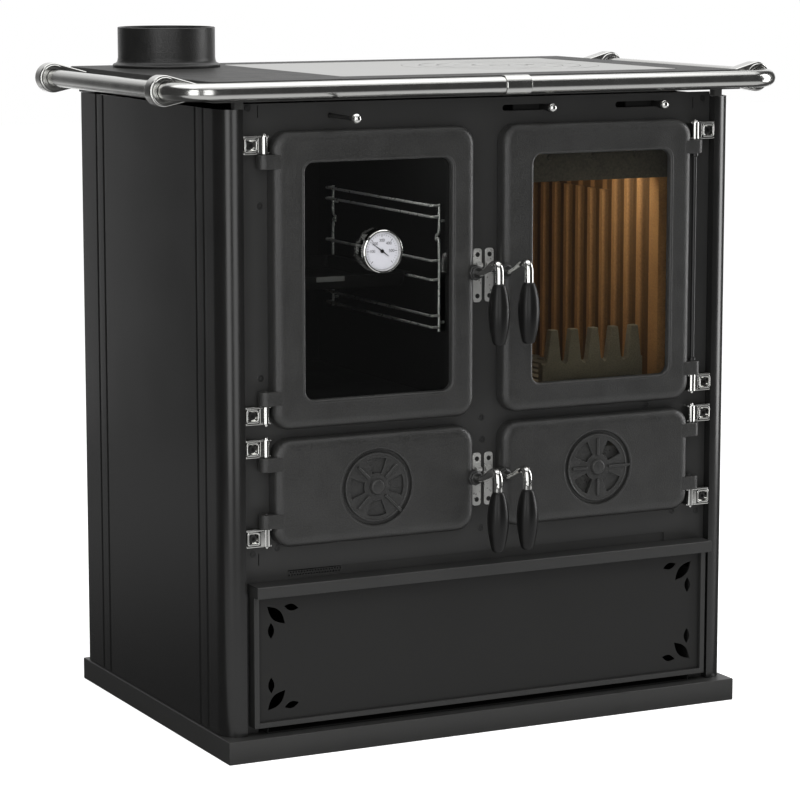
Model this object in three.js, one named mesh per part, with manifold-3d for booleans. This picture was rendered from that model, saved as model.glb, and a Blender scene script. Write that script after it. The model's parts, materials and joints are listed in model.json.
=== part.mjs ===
// A wood-fired cookstove: steel casing on a plinth, cast hob and doors, oven at the left, fire at the right.
// Millimetres, +Z up, front towards -Y. The origin is on the floor, at the centre of the plinth.
import * as THREE from 'three';
import { mergeVertices } from 'three/addons/utils/BufferGeometryUtils.js';
import Module from 'manifold-3d';

const wasm = await Module();
wasm.setup();

// ---------------------------------------------------------------- driving dimensions
const fit = 0.3; // between pieces that touch
const sides = { peg: 4, wire: 5, small: 8, medium: 12, large: 24 }; // of round pieces
const body = { width: 746, depth: 480, top: 825, wall: 3, corner: 27, flange: 33, faceReturn: 17 };
const halfBody = body.width / 2;
const bodyFront = -body.depth / 2;
const bodyBack = body.depth / 2;
const plinth = { width: body.width + 6, depth: body.depth + 35, height: 30, wall: 3, sideWall: 20 };
const groove = { fromEnd: [56, 81.5], width: 3, depth: 1.2 };
const plate = { recess: 13, thickness: 3, top: 831 };
const hob = {
  width: body.width + 20, front: bodyFront - 2, back: bodyBack + 16, top: 860,
  thickness: 26, skirt: 8, deck: 14, corner: 4,
};
const foot = { inside: 4, outside: 8, depth: 12 };
const halfHob = hob.width / 2;
const hotplate = {
  left: 203 - halfHob, right: halfHob - 62, front: hob.front + 59, back: hob.back - 56,
  thickness: 8, ledge: 10, corner: 6, gap: 0.6,
};
const rings = { x: halfHob - 226, y: 18, outer: 135.5, step: 24.4, seat: 6 };
const ringGroove = { width: 1.2, depth: 1 };
const flue = { x: 110 - halfHob, y: hob.back - 81, outer: 66, bore: 62, rise: 54, flange: 73, bell: 12 };
const flueFlange = { thickness: 5, bevel: 1.5, rise: 1, fillet: 2, lip: 1 };
const rail = { x: halfHob + 49, y: hob.front - 20, z: 848, radius: 11.2, bend: 47, joint: 28 };
const sleeve = { length: 36, radius: 13.2 };
const bracket = { y: bodyBack - 45, radius: 19.8, length: 27, armTop: 855, armBottom: 838, capWall: 5 };
const column = { inner: 20.5, outer: halfBody - 67.5 }; // a door's edges, from the middle of the stove
const columnMiddle = (column.inner + column.outer) / 2;
const upper = { bottom: 421, top: 797 };
const lower = { bottom: 270, top: 409 };
const door = { behind: 1, depth: 20, face: 7.8, rim: 9, corner: 21, round: 4.5, opening: 20 };
const pane = {
  width: column.outer - column.inner - 79, bottom: upper.bottom + 37, top: upper.top - 40,
  shift: 4, corner: 12, thickness: 4, cover: 9,
};
const hinge = { x: column.outer + 8.5, behindFace: 10, height: 23, knuckle: 4.8, gap: 0.5 };
const hingePin = { radius: 3, short: 2 };
const lug = { height: 18, radius: 9.5, bore: 3.3, halfWidth: 8.5, root: 2 };
const leaf = { reach: 28.6, inner: 7, front: 2, flange: 2.5, web: 3.5 };
const cup = { outer: 3, inner: 8, edge: 5.3, wall: 4.5, floor: 4 }; // the hollow for the hinge's screw
const upperHinges = { top: upper.top - 5, bottom: upper.bottom + 9 };
const lowerHinges = { top: lower.top + 2, bottom: lower.bottom + 3.5 };
const boss = {
  x: 21.5, upperZ: upper.top - 189, lowerZ: lower.top - 69,
  radius: 10, proud: 4, depth: 15.5, bore: 4.3,
};
const handle = { shaft: 4, neck: 6, out: 60, rise: 15.5, drop: 8 };
const finger = { length: 13.5, width: 6, thickness: 4, gap: 1, room: 2 };
const grip = { length: 78, end: 7.3, belly: 14, foot: 7.6, fullest: 0.9, swell: 0.9 };
const catchPlate = { inner: 2.5, width: 12.5, thickness: 3, above: 29, below: 41, corner: 4 };
const catchLip = { inner: 3, outer: 11.5, proud: 5, height: 6, clear: 2 };
const wheel = { recess: 49.5, recessDepth: 4, radius: 45, thickness: 3.1 };
const hub = { radius: 10, proud: 4, pin: 4, pinBehind: 2 };
const fin = { halfWidth: 1.3, proud: 3, root: 1, overlap: 1, tabGap: 1.5 };
const window = { inner: 18, outer: 38, halfAngle: 21, grow: 0.5 };
const oven = { wall: 2.5, depth: body.depth - 67 };
const runner = { wire: 2, inset: 11, fromWall: 7.5, front: bodyFront + 45, back: bodyBack - 117, overrun: 8 };
const runnerHeights = [112, 127, 174, 199, 256, 270.5].map((above) => upper.bottom + above);
const rackPegs = { below: 6, lowest: 12, highest: 20 };
const tray = { front: bodyFront + 109, back: bodyBack - 130, depth: 16, sheet: 2, rim: 9, clear: 1 };
const grate = { thickness: 12, bars: 9, slot: 10, front: 4, frontLand: 60, backLand: 50 };
const lining = { side: 14, back: bodyBack - 90, backWall: 16, top: 691, front: 8 };
const flutes = { count: 10, depth: 6, land: 20 };
const fence = { left: columnMiddle - 65, right: columnMiddle + 89, y: bodyFront + 35, thickness: 12 };
const tooth = { top: 521, root: 475, count: 5, foot: 4, rise: 2 };
const baffle = { thickness: 9, front: bodyFront + 160, frontZ: 748, web: 8, toe: 4 };
const chambers = { wall: 3, top: upper.bottom + 3.5, depth: body.depth - 67, margin: 1 };
const throat = { front: 50, back: 40 }; // where ash falls from the grate into the chamber below
const ashPan = {
  left: column.inner + 41.5, right: column.outer - 39.5, front: bodyFront + 25, back: bodyBack - 120,
  height: 70, sheet: 2,
};
const drawer = { width: body.width - 75, bottom: 40, lipTop: 226, lip: 15, proud: 19, lipProud: 33, bar: 7 };
const drawerSheet = { recess: 5, panel: 2, edge: 3 };
const drawerBox = { width: body.width - 116, depth: body.depth - 60, height: 158, sheet: 2 };
const drawerMouth = { beside: 7, above: 5, corner: 8 };
// Each leaf from one point to another, both counted from the panel's corner, with the bulge of its arcs.
const leaves = [
  { from: [13.5, 14.5], to: [38, 38.5], bulge: 7 },
  { from: [37, 16], to: [57, 20.5], bulge: 4.4 },
  { from: [18.5, 36], to: [18.5, 57], bulge: 4.4 },
];
const vent = { halfWidth: halfBody - 93, top: 237.5, depth: 1.4 };
const damper = { x: 155 - halfBody, z: 814, rod: 2.6, hole: 3, out: 76, ball: 6.3, cone: 13, inside: 190 };
const blade = { halfWidth: 35, length: 60, thickness: 3 };
const slides = { z: 817, slotHeight: 8, slotLength: 64, left: halfBody - 345, right: halfBody - 176 };
const slideKnob = { stem: 3.5, out: 25, ball: 6, cone: 15, fromEnd: 4.3 };
const slideBlade = { left: 42, right: 30, overlap: 7, thickness: 2 };
const gauge = { x: 7.5 - columnMiddle, z: upper.top - 155, radius: 27.6, depth: 11.8, wall: 2.6, dial: 5.5 };
const gaugeStem = { radius: 3.5, hole: 4, length: 16 };
const needle = { tip: [-17, 12.5], tail: [9, -6.6], shoulder: [1.1, 1.5], front: 2.2, back: 1.4, hub: 2.6 };

// ---------------------------------------------------------------- places that follow from them
const floor = plinth.height + fit;
const plateFront = bodyFront + plate.recess;
const plateBack = plateFront + plate.thickness;
const plateHalf = halfBody - body.corner - body.wall - fit;
const innerFront = plateBack + fit;
const doorBack = plateFront - door.behind;
const doorFace = doorBack - door.depth;
const pocketFloor = doorFace + door.face;
const pinY = doorFace + hinge.behindFace;
const chamberBottom = lower.bottom + door.opening + fit - chambers.wall;
const hobUnder = hob.top - hob.thickness;
const lowerMiddle = (lower.bottom + lower.top) / 2;

// ---------------------------------------------------------------- solids
function solid(geometry) {
  const bare = new THREE.BufferGeometry().setAttribute('position', geometry.getAttribute('position'));
  if (geometry.index) bare.setIndex(geometry.index);
  const merged = mergeVertices(bare, 1e-4);
  const from = merged.index.array;
  const triVerts = [];
  for (let i = 0; i < from.length; i += 3) {
    const [a, b, c] = from.slice(i, i + 3);
    if (a !== b && b !== c && c !== a) triVerts.push(a, b, c);
  }
  const make = (order) =>
    new wasm.Manifold(
      new wasm.Mesh({
        numProp: 3,
        vertProperties: merged.attributes.position.array,
        triVerts: new Uint32Array(order),
      }),
    );
  const made = make(triVerts);
  return made.volume() < 0 ? make(triVerts.reverse()) : made;
}

const join = (...parts) => parts.flat().reduce((a, b) => a.add(b));
const cut = (from, ...tools) => tools.flat().reduce((a, b) => a.subtract(b), from);

function box(x0, x1, y0, y1, z0, z1) {
  const g = new THREE.BoxGeometry(Math.abs(x1 - x0), Math.abs(y1 - y0), Math.abs(z1 - z0));
  return solid(g.translate((x0 + x1) / 2, (y0 + y1) / 2, (z0 + z1) / 2));
}

// A round bar between two points, or a cone where the ends differ.
function bar(radius, from, to, around = sides.small, endRadius = radius) {
  const a = new THREE.Vector3(...from);
  const b = new THREE.Vector3(...to);
  const along = b.clone().sub(a);
  const g = new THREE.CylinderGeometry(endRadius, radius, along.length(), around);
  g.applyQuaternion(new THREE.Quaternion().setFromUnitVectors(new THREE.Vector3(0, 1, 0), along.normalize()));
  const middle = a.add(b).multiplyScalar(0.5);
  return solid(g.translate(middle.x, middle.y, middle.z));
}

const ball = (radius, x, y, z) => solid(new THREE.SphereGeometry(radius, sides.small, 6).translate(x, y, z));

const shapeOf = (points) => new THREE.Shape(points.map((p) => (p.isVector2 ? p : new THREE.Vector2(...p))));

// Outlines in X and Y raised along Z, in X and Z run along Y, in Y and Z run along X.
function raised(points, z0, z1) {
  const g = new THREE.ExtrudeGeometry(shapeOf(points), { depth: z1 - z0, bevelEnabled: false });
  return solid(g.translate(0, 0, z0));
}
function facing(points, y0, y1) {
  const g = new THREE.ExtrudeGeometry(shapeOf(points), { depth: y1 - y0, bevelEnabled: false });
  return solid(g.rotateX(Math.PI / 2).translate(0, y1, 0));
}
function across(points, x0, x1) {
  const g = new THREE.ExtrudeGeometry(shapeOf(points), { depth: x1 - x0, bevelEnabled: false });
  const turn = new THREE.Matrix4().makeBasis(
    new THREE.Vector3(0, 1, 0),
    new THREE.Vector3(0, 0, 1),
    new THREE.Vector3(1, 0, 0),
  );
  return solid(g.applyMatrix4(turn).translate(x0, 0, 0));
}

function arc(cx, cy, radius, fromDegrees, toDegrees, steps) {
  const points = [];
  for (let i = 0; i <= steps; i++) {
    const a = THREE.MathUtils.degToRad(fromDegrees + ((toDegrees - fromDegrees) * i) / steps);
    points.push(new THREE.Vector2(cx + radius * Math.cos(a), cy + radius * Math.sin(a)));
  }
  return points;
}

function rounded(x0, x1, y0, y1, radius, steps = 3) {
  return [
    ...arc(x1 - radius, y0 + radius, radius, -90, 0, steps),
    ...arc(x1 - radius, y1 - radius, radius, 0, 90, steps),
    ...arc(x0 + radius, y1 - radius, radius, 90, 180, steps),
    ...arc(x0 + radius, y0 + radius, radius, 180, 270, steps),
  ];
}

// A skin over rings of points, closed by a flat fan at each end. Each ring is convex.
function loft(sections) {
  const count = sections[0].length;
  const index = [];
  for (let s = 0; s + 1 < sections.length; s++) {
    for (let i = 0; i < count; i++) {
      const j = (i + 1) % count;
      const a = s * count;
      const b = a + count;
      index.push(a + i, a + j, b + j, a + i, b + j, b + i);
    }
  }
  const last = (sections.length - 1) * count;
  for (let i = 1; i + 1 < count; i++) {
    index.push(0, i + 1, i);
    index.push(last, last + i, last + i + 1);
  }
  const flat = sections.flat().flatMap((p) => [p.x, p.y, p.z]);
  const g = new THREE.BufferGeometry();
  g.setAttribute('position', new THREE.Float32BufferAttribute(flat, 3));
  g.setIndex(index);
  return solid(g);
}

// A tube through points, with a radius at each point.
function sweep(points, radii, around) {
  const sections = [];
  let side = new THREE.Vector3(0, 0, 1);
  points.forEach((p, i) => {
    const before = points[Math.max(i - 1, 0)];
    const after = points[Math.min(i + 1, points.length - 1)];
    const along = after.clone().sub(before).normalize();
    side.addScaledVector(along, -side.dot(along));
    if (side.length() < 0.1) side = new THREE.Vector3(1, 0, 0).addScaledVector(along, -along.x);
    side.normalize();
    const up = along.clone().cross(side);
    const ring = [];
    for (let k = 0; k < around; k++) {
      const a = (2 * Math.PI * k) / around;
      ring.push(
        p.clone().addScaledVector(side, radii[i] * Math.cos(a)).addScaledVector(up, radii[i] * Math.sin(a)),
      );
    }
    sections.push(ring);
  });
  return loft(sections);
}

// A turned solid about a vertical axis at x, y: the profile is a list of [radius, z] that closes on itself.
function turned(profile, x, y, around) {
  const closed = [...profile, profile[0]].map((p) => new THREE.Vector2(...p));
  const g = new THREE.LatheGeometry(closed, around);
  return solid(g.rotateX(Math.PI / 2).translate(x, y, 0));
}

function sector(cx, cz, spec, middleDegrees, grow = 0) {
  const half = spec.halfAngle + grow;
  return [
    ...arc(cx, cz, spec.outer + grow, middleDegrees - half, middleDegrees + half, 3),
    ...arc(cx, cz, spec.inner - grow, middleDegrees + half, middleDegrees - half, 2),
  ];
}

// ---------------------------------------------------------------- finishes
const finish = {
  paint: { color: 0x2b2b2b, roughness: 0.55, metalness: 0.2 },
  cast: { color: 0x353534, roughness: 0.75, metalness: 0.3 },
  hobSteel: { color: 0x9a9c9c, roughness: 0.45, metalness: 0.8 },
  chrome: { color: 0xd8d8d8, roughness: 0.15, metalness: 1 },
  rail: { color: 0xb8babb, roughness: 0.3, metalness: 1 },
  zinc: { color: 0x9b9b98, roughness: 0.4, metalness: 0.9 },
  grip: { color: 0x101010, roughness: 0.3, metalness: 0 },
  glass: { color: 0x556055, roughness: 0.05, metalness: 0 },
  enamel: { color: 0x22231f, roughness: 0.4, metalness: 0.1 },
  lining: { color: 0x6b5238, roughness: 0.9, metalness: 0.1 },
  dial: { color: 0xe6e6ea, roughness: 0.4, metalness: 0 },
};

const stove = new THREE.Group();

function add(name, made, look, parent = stove) {
  const raw = made.getMesh();
  const g = new THREE.BufferGeometry();
  g.setAttribute('position', new THREE.BufferAttribute(new Float32Array(raw.vertProperties), 3));
  g.setIndex(new THREE.BufferAttribute(new Uint32Array(raw.triVerts), 1));
  g.computeVertexNormals();
  const mesh = new THREE.Mesh(g, new THREE.MeshStandardMaterial(finish[look]));
  mesh.name = name;
  parent.add(mesh);
  return mesh;
}

// ---------------------------------------------------------------- plinth and casing
// A flat steel box, open at the back so that air can come in under the stove.
function makePlinth() {
  const w = plinth.width / 2;
  const d = plinth.depth / 2;
  const inside = w - plinth.sideWall;
  return cut(
    box(-w, w, -d, d, 0, plinth.height),
    box(-inside, inside, -d + plinth.wall, d + 1, plinth.wall, plinth.height - plinth.wall),
  );
}

// Plan of the left casing: back flange, side with its grooves, round front corner and return.
function casingOutline() {
  const x = -halfBody;
  const w = body.wall;
  const r = body.corner;
  const notch = (y) => [
    [x, y + groove.width / 2],
    [x + groove.depth, y],
    [x, y - groove.width / 2],
  ];
  const fromBack = groove.fromEnd.map((d) => bodyBack - d);
  const fromFront = [...groove.fromEnd].reverse().map((d) => bodyFront + d);
  return [
    [x + body.flange, bodyBack],
    [x, bodyBack],
    ...[...fromBack, ...fromFront].flatMap(notch),
    ...arc(x + r, bodyFront + r, r, 180, 270, 8),
    [x + r + w, bodyFront],
    [x + r + w, bodyFront + body.faceReturn],
    [x + r, bodyFront + body.faceReturn],
    ...arc(x + r, bodyFront + r, r - w, 270, 180, 6),
    [x + w, bodyBack - w],
    [x + body.flange, bodyBack - w],
  ];
}

function makeRearPanel() {
  const w = halfBody - body.wall - fit;
  const y = bodyBack - body.wall - fit;
  return box(-w, w, y - body.wall, y, floor, body.top);
}

// ---------------------------------------------------------------- front plate
function makeFrontPlate() {
  const sheet = facing(rounded(-plateHalf, plateHalf, floor, plate.top, 1, 1), plateFront, plateBack);
  const y = [plateFront - 1, plateBack + 1];
  const o = door.opening;
  const openings = [-1, 1].flatMap((side) => {
    const x = [side * (column.inner + o), side * (column.outer - o)].sort((a, b) => a - b);
    return [
      box(...x, ...y, upper.bottom + o, upper.top - o),
      box(...x, ...y, lower.bottom + o, lower.top - o),
    ];
  });
  const slots = [slides.left, slides.right].map((x) => {
    const h = slides.slotHeight / 2;
    return facing(rounded(x, x + slides.slotLength, slides.z - h, slides.z + h, h - 0.2, 3), ...y);
  });
  const mouth = drawerBox.width / 2 + drawerMouth.beside;
  const mouthTop = drawer.lipTop - drawer.lip - drawerMouth.above;
  return cut(
    sheet,
    openings,
    slots,
    bar(damper.hole, [damper.x, y[0], damper.z], [damper.x, y[1], damper.z]),
    facing(rounded(-mouth, mouth, 0, mouthTop, drawerMouth.corner, 3), ...y),
    box(-vent.halfWidth, vent.halfWidth, plateFront - 1, plateFront + vent.depth, drawer.lipTop, vent.top),
  );
}

// ---------------------------------------------------------------- cooktop
function makeHobFrame() {
  const w = halfHob;
  const s = hob.skirt;
  const under = hob.top - hob.deck;
  const slab = raised(rounded(-w, w, hob.front, hob.back, hob.corner), hobUnder, hob.top);
  const h = hotplate;
  const seat = hob.top - h.thickness - fit;
  const l = h.ledge;
  const feet = [-1, 1].flatMap((side) => {
    const edge = halfBody - body.corner;
    const front = [side * (edge - foot.inside), side * (edge + foot.outside)];
    const back = [side * (halfBody - 1), side * (halfBody - body.flange + foot.outside)];
    return [
      box(...front, bodyFront, bodyFront + foot.depth, body.top + fit, under + 1),
      box(...back, bodyBack - body.wall, hob.back - s + 1, body.top + fit, under + 1),
    ];
  });
  return join(
    cut(
      slab,
      box(-w + s, w - s, hob.front + s, hob.back - s, hobUnder - 1, under),
      raised(rounded(h.left, h.right, h.front, h.back, h.corner), seat, hob.top + 1),
      raised(rounded(h.left + l, h.right - l, h.front + l, h.back - l, h.corner), under - 1, hob.top + 1),
      bar(flue.bore, [flue.x, flue.y, hobUnder - 1], [flue.x, flue.y, hob.top + 1], sides.large),
    ),
    feet,
  );
}

function makeHotplate() {
  const h = hotplate;
  const g = h.gap;
  const under = hob.top - h.thickness;
  const middle = hob.top - h.thickness / 2 + fit / 2;
  const r = rings.outer + g;
  return cut(
    raised(rounded(h.left + g, h.right - g, h.front + g, h.back - g, h.corner), under, hob.top),
    bar(r, [rings.x, rings.y, middle - fit], [rings.x, rings.y, hob.top + 1], sides.large),
    bar(r - rings.seat, [rings.x, rings.y, under - 1], [rings.x, rings.y, hob.top], sides.large),
  );
}

// The profile of a flat ring's top, with a narrow groove at each of the given radii.
function groovedTop(radii) {
  const w = ringGroove.width / 2;
  const low = hob.top - ringGroove.depth;
  return radii.flatMap((r) => [
    [r + w, hob.top],
    [r, low],
    [r - w, hob.top],
  ]);
}

function makeRingAndLid() {
  const under = hob.top - hotplate.thickness;
  const middle = hob.top - hotplate.thickness / 2 + fit / 2;
  const circle = (i) => rings.outer - rings.step * i;
  const hole = circle(3);
  const s = rings.seat;
  const g = hotplate.gap;
  const ring = [
    [circle(0), hob.top],
    ...groovedTop([circle(1), circle(2)]),
    [hole + g, hob.top],
    [hole + g, middle - fit],
    [hole + g - s, middle - fit],
    [hole + g - s, under],
    [circle(0) - s, under],
    [circle(0) - s, middle],
    [circle(0), middle],
  ];
  const lid = [
    [hole, hob.top],
    ...groovedTop([circle(4), circle(5)]),
    [0, hob.top],
    [0, under],
    [hole - s, under],
    [hole - s, middle],
    [hole, middle],
  ];
  return [turned(ring, rings.x, rings.y, sides.large), turned(lid, rings.x, rings.y, sides.large)];
}

function makeFlueCollar() {
  const base = hob.top + fit;
  const top = hob.top + flue.rise;
  const f = flueFlange;
  const profile = [
    [flue.bore, base],
    [flue.flange, base],
    [flue.flange, base + f.thickness - f.bevel],
    [flue.flange - f.bevel, base + f.thickness],
    [flue.outer + f.fillet, base + f.thickness + f.rise],
    [flue.outer, base + flue.bell],
    [flue.outer, top - f.lip],
    [flue.outer - f.lip, top],
    [flue.bore, top],
  ];
  return turned(profile, flue.x, flue.y, sides.large);
}

// ---------------------------------------------------------------- rail
function railPath(side, endX) {
  const r = rail.bend;
  const points = [new THREE.Vector3(side * rail.x, bracket.y + bracket.length / 2 - bracket.capWall, rail.z)];
  for (let i = 0; i <= 8; i++) {
    const a = (Math.PI / 2) * (i / 8);
    const x = side * (rail.x - r + r * Math.cos(a));
    points.push(new THREE.Vector3(x, rail.y + r - r * Math.sin(a), rail.z));
  }
  points.push(new THREE.Vector3(endX, rail.y, rail.z));
  return points;
}

function makeRail(side, endX) {
  const path = railPath(side, endX);
  return sweep(path, path.map(() => rail.radius), sides.medium);
}

function makeRightRail() {
  const half = sleeve.length / 2;
  const at = (dx) => [rail.joint + dx, rail.y, rail.z];
  return cut(
    join(makeRail(1, rail.joint + fit / 2), bar(sleeve.radius, at(-half), at(half), sides.medium)),
    bar(rail.radius + 2 * fit, at(-half - 1), at(fit / 2), sides.medium),
  );
}

// A disc round the rail with an arm, tangent to it, to the side of the hob. The rear ones are closed behind.
function makeBracket(rear) {
  const reach = rail.x - halfHob - fit;
  const outline = [
    ...arc(0, 0, bracket.radius, 75, 285, 12),
    new THREE.Vector2(reach, bracket.armBottom - rail.z),
    new THREE.Vector2(reach, bracket.armTop - rail.z),
  ];
  const half = bracket.length / 2;
  const end = rear ? half - bracket.capWall + fit : half + 1;
  const bore = bar(rail.radius + 2 * fit, [0, -half - 1, 0], [0, end, 0], sides.medium);
  return cut(facing(outline, -half, half), bore);
}

// ---------------------------------------------------------------- doors
const span = (side, a, b) => [side * a, side * b].sort((p, q) => p - q);

function doorShell(side, z0, z1) {
  const [x0, x1] = span(side, column.inner, column.outer);
  const steps = [
    [doorBack, 0],
    [doorFace + door.round + 0.5, 0.6],
    [doorFace + 1.5, door.round * 0.45],
    [doorFace, door.round],
  ];
  const sections = steps.map(([y, inset]) =>
    rounded(x0 + inset, x1 - inset, z0 + inset, z1 - inset, door.corner - inset).map(
      (p) => new THREE.Vector3(p.x, y, p.y),
    ),
  );
  const r = door.rim;
  const pocket = rounded(x0 + r, x1 - r, z0 + r, z1 - r, door.corner - r);
  return cut(loft(sections), facing(pocket, pocketFloor, doorBack + 1));
}

// The heights of a door's two hinge brackets and two lugs, each as [bottom, top].
function hingeHeights(group) {
  const { top, bottom } = group === 'upper' ? upperHinges : lowerHinges;
  const h = hinge.height;
  const step = h + hinge.gap;
  return {
    brackets: [
      [top - h, top],
      [bottom, bottom + h],
    ],
    lugs: [
      [top - step - lug.height, top - step],
      [bottom + step, bottom + step + lug.height],
    ],
  };
}

function makeDoor(side, group, bossZ) {
  const { bottom, top } = group === 'upper' ? upper : lower;
  const x = side * hinge.x;
  const lugs = hingeHeights(group).lugs.flatMap(([z0, z1]) => [
    bar(lug.radius, [x, pinY, z0], [x, pinY, z1], sides.medium),
    box(x, side * (column.outer - door.rim + lug.root), pinY - lug.halfWidth, pinY + lug.halfWidth, z0, z1),
  ]);
  const bores = hingeHeights(group).lugs.map(([z0, z1]) =>
    bar(lug.bore, [x, pinY, z0 - 1], [x, pinY, z1 + 1]),
  );
  const bx = side * boss.x;
  const bossFront = doorFace - boss.proud;
  const bossBack = bossFront + boss.depth;
  return cut(
    join(
      cut(
        doorShell(side, bottom, top),
        bar(finger.length + finger.room, [bx, bossBack, bossZ], [bx, doorBack + 1, bossZ], sides.medium),
      ),
      lugs,
      bar(boss.radius, [bx, bossFront, bossZ], [bx, bossBack, bossZ], sides.medium),
    ),
    bores,
    bar(boss.bore, [bx, bossFront - 1, bossZ], [bx, doorBack + 1, bossZ], sides.medium),
  );
}

const paneMiddle = (side) => side * columnMiddle + pane.shift;

function makeGlazedDoor(side) {
  const m = paneMiddle(side);
  const opening = rounded(m - pane.width / 2, m + pane.width / 2, pane.bottom, pane.top, pane.corner);
  return cut(makeDoor(side, 'upper', boss.upperZ), facing(opening, doorFace - 1, pocketFloor + 1));
}

function makePane(side) {
  const m = paneMiddle(side);
  const w = pane.width / 2 + pane.cover;
  const y = pocketFloor + fit;
  const outline = rounded(m - w, m + w, pane.bottom - pane.cover, pane.top + pane.cover, pane.corner);
  return facing(outline, y, y + pane.thickness);
}

function makeLowerDoor(side) {
  const x = side * columnMiddle;
  const z = lowerMiddle;
  const floorY = doorFace + wheel.recessDepth;
  const y = [floorY - 1, pocketFloor + 1];
  const holes = [45, 225].map((a) => facing(sector(x, z, window, a, window.grow), ...y));
  return cut(
    makeDoor(side, 'lower', boss.lowerZ),
    bar(wheel.recess, [x, doorFace - 1, z], [x, floorY, z], sides.large),
    holes,
    bar(hub.pin + fit, [x, floorY - 1, z], [x, pocketFloor + 1, z], sides.medium),
  );
}

// The air disc about its own centre, turned by the given angle: windows, fins between them, one fin as a tab.
function makeAirDisc(turn) {
  const back = doorFace + wheel.recessDepth - fit;
  const front = back - wheel.thickness;
  const finTop = doorFace - fin.proud;
  const windows = [45, 135, 225, 315].map((a) => facing(sector(0, 0, window, a + turn), front - 1, back + 1));
  const fins = [0, 90, 180, 270].map((a) => {
    const t = THREE.MathUtils.degToRad(a + turn);
    const end = a === 0 ? wheel.recess - fin.tabGap : window.outer + fin.overlap;
    const start = window.inner - fin.root;
    const along = new THREE.Vector2(Math.cos(t), Math.sin(t));
    const off = new THREE.Vector2(-along.y, along.x).multiplyScalar(fin.halfWidth);
    const at = (r, s) => along.clone().multiplyScalar(r).addScaledVector(off, s);
    return facing([at(start, -1), at(end, -1), at(end, 1), at(start, 1)], finTop, front + fin.overlap);
  });
  return join(
    cut(bar(wheel.radius, [0, front, 0], [0, back, 0], sides.large), windows),
    bar(hub.radius, [0, doorFace - hub.proud, 0], [0, front + fin.overlap, 0], sides.medium),
    bar(hub.pin, [0, front, 0], [0, pocketFloor + hub.pinBehind, 0]),
    fins,
  );
}

// ---------------------------------------------------------------- hinge brackets
// A left door's bracket, about its pin.
function makeHingeBracket(pinUp) {
  const h = hinge.height / 2;
  const back = plateFront - fit - pinY;
  const f = leaf.flange;
  const pinEnd = h + hinge.gap + lug.height - hingePin.short;
  const well = h - cup.wall;
  return join(
    cut(
      box(-leaf.reach, -cup.inner, -1, back, -h, h),
      box(cup.outer - leaf.reach, -cup.inner - cup.edge, -leaf.front, back - cup.floor, -well, well),
    ),
    box(-leaf.reach, leaf.inner, -leaf.front, back, h - f, h),
    box(-leaf.reach, leaf.inner, -leaf.front, back, -h, f - h),
    box(-cup.inner - 1, 0, 1, leaf.web, -h, h),
    bar(hinge.knuckle, [0, 0, -h], [0, 0, h], sides.medium),
    bar(hingePin.radius, [0, 0, 0], [0, 0, pinUp ? pinEnd : -pinEnd]),
  );
}

// ---------------------------------------------------------------- handles and catches
// The rod about its shaft, counted from the front of the boss.
function makeHandleRod(side) {
  const curve = new THREE.CatmullRomCurve3(
    [
      [0, 0],
      [-12, 1],
      [-26, 6],
      [-handle.out + 17, handle.rise - 2],
      [-handle.out + 6, handle.rise],
      [-handle.out + 0.8, handle.rise - 6],
      [-handle.out, 0],
      [-handle.out, -handle.drop],
    ].map(([y, z]) => new THREE.Vector3(0, y, z)),
  );
  const points = curve.getPoints(10);
  const y = boss.depth + finger.gap;
  points.unshift(new THREE.Vector3(0, y + finger.thickness, 0));
  points[points.length - 1].set(0, -handle.out, -handle.drop);
  const radii = points.map((p, i) => (i < 7 ? handle.shaft : handle.neck));
  const w = finger.width / 2;
  return join(
    sweep(points, radii, sides.small),
    box(0, -side * finger.length, y, y + finger.thickness, -w, w),
  );
}

function makeGrip() {
  const top = -handle.drop - fit;
  const steps = 6;
  const profile = [[0, top]];
  for (let i = 0; i <= steps; i++) {
    const t = i / steps;
    const ends = grip.end + (grip.foot - grip.end) * t;
    const swell = Math.sin(Math.PI * t ** grip.fullest) ** grip.swell;
    profile.push([ends + (grip.belly - ends) * swell, top - grip.length * t]);
  }
  profile.push([0, top - grip.length]);
  return turned(profile, 0, -handle.out, sides.medium);
}

// A plate beside the opening, with a lip over the place where the handle's finger lies.
function makeCatch(side, z) {
  const c = catchPlate;
  const [x0, x1] = span(side, c.inner, c.inner + c.width);
  const [t0, t1] = span(side, catchLip.inner, catchLip.outer);
  const back = plateFront - fit;
  const face = back - c.thickness;
  const low = z + finger.width / 2 + catchLip.clear;
  return join(
    facing(rounded(x0, x1, z - c.below, z + c.above, c.corner, 3), face, back),
    box(t0, t1, face - catchLip.proud, face + 1, low, low + catchLip.height),
  );
}

// ---------------------------------------------------------------- oven
const ovenX = [-(column.outer - door.opening), -(column.inner + door.opening)];
const ovenZ = [upper.bottom + door.opening, upper.top - door.opening];

function makeOvenLiner() {
  const w = oven.wall;
  const back = innerFront + oven.depth;
  return cut(
    box(ovenX[0] - w, ovenX[1] + w, innerFront, back, ovenZ[0] - w, ovenZ[1] + w),
    box(...ovenX, innerFront - 1, back - w, ...ovenZ),
  );
}

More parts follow.
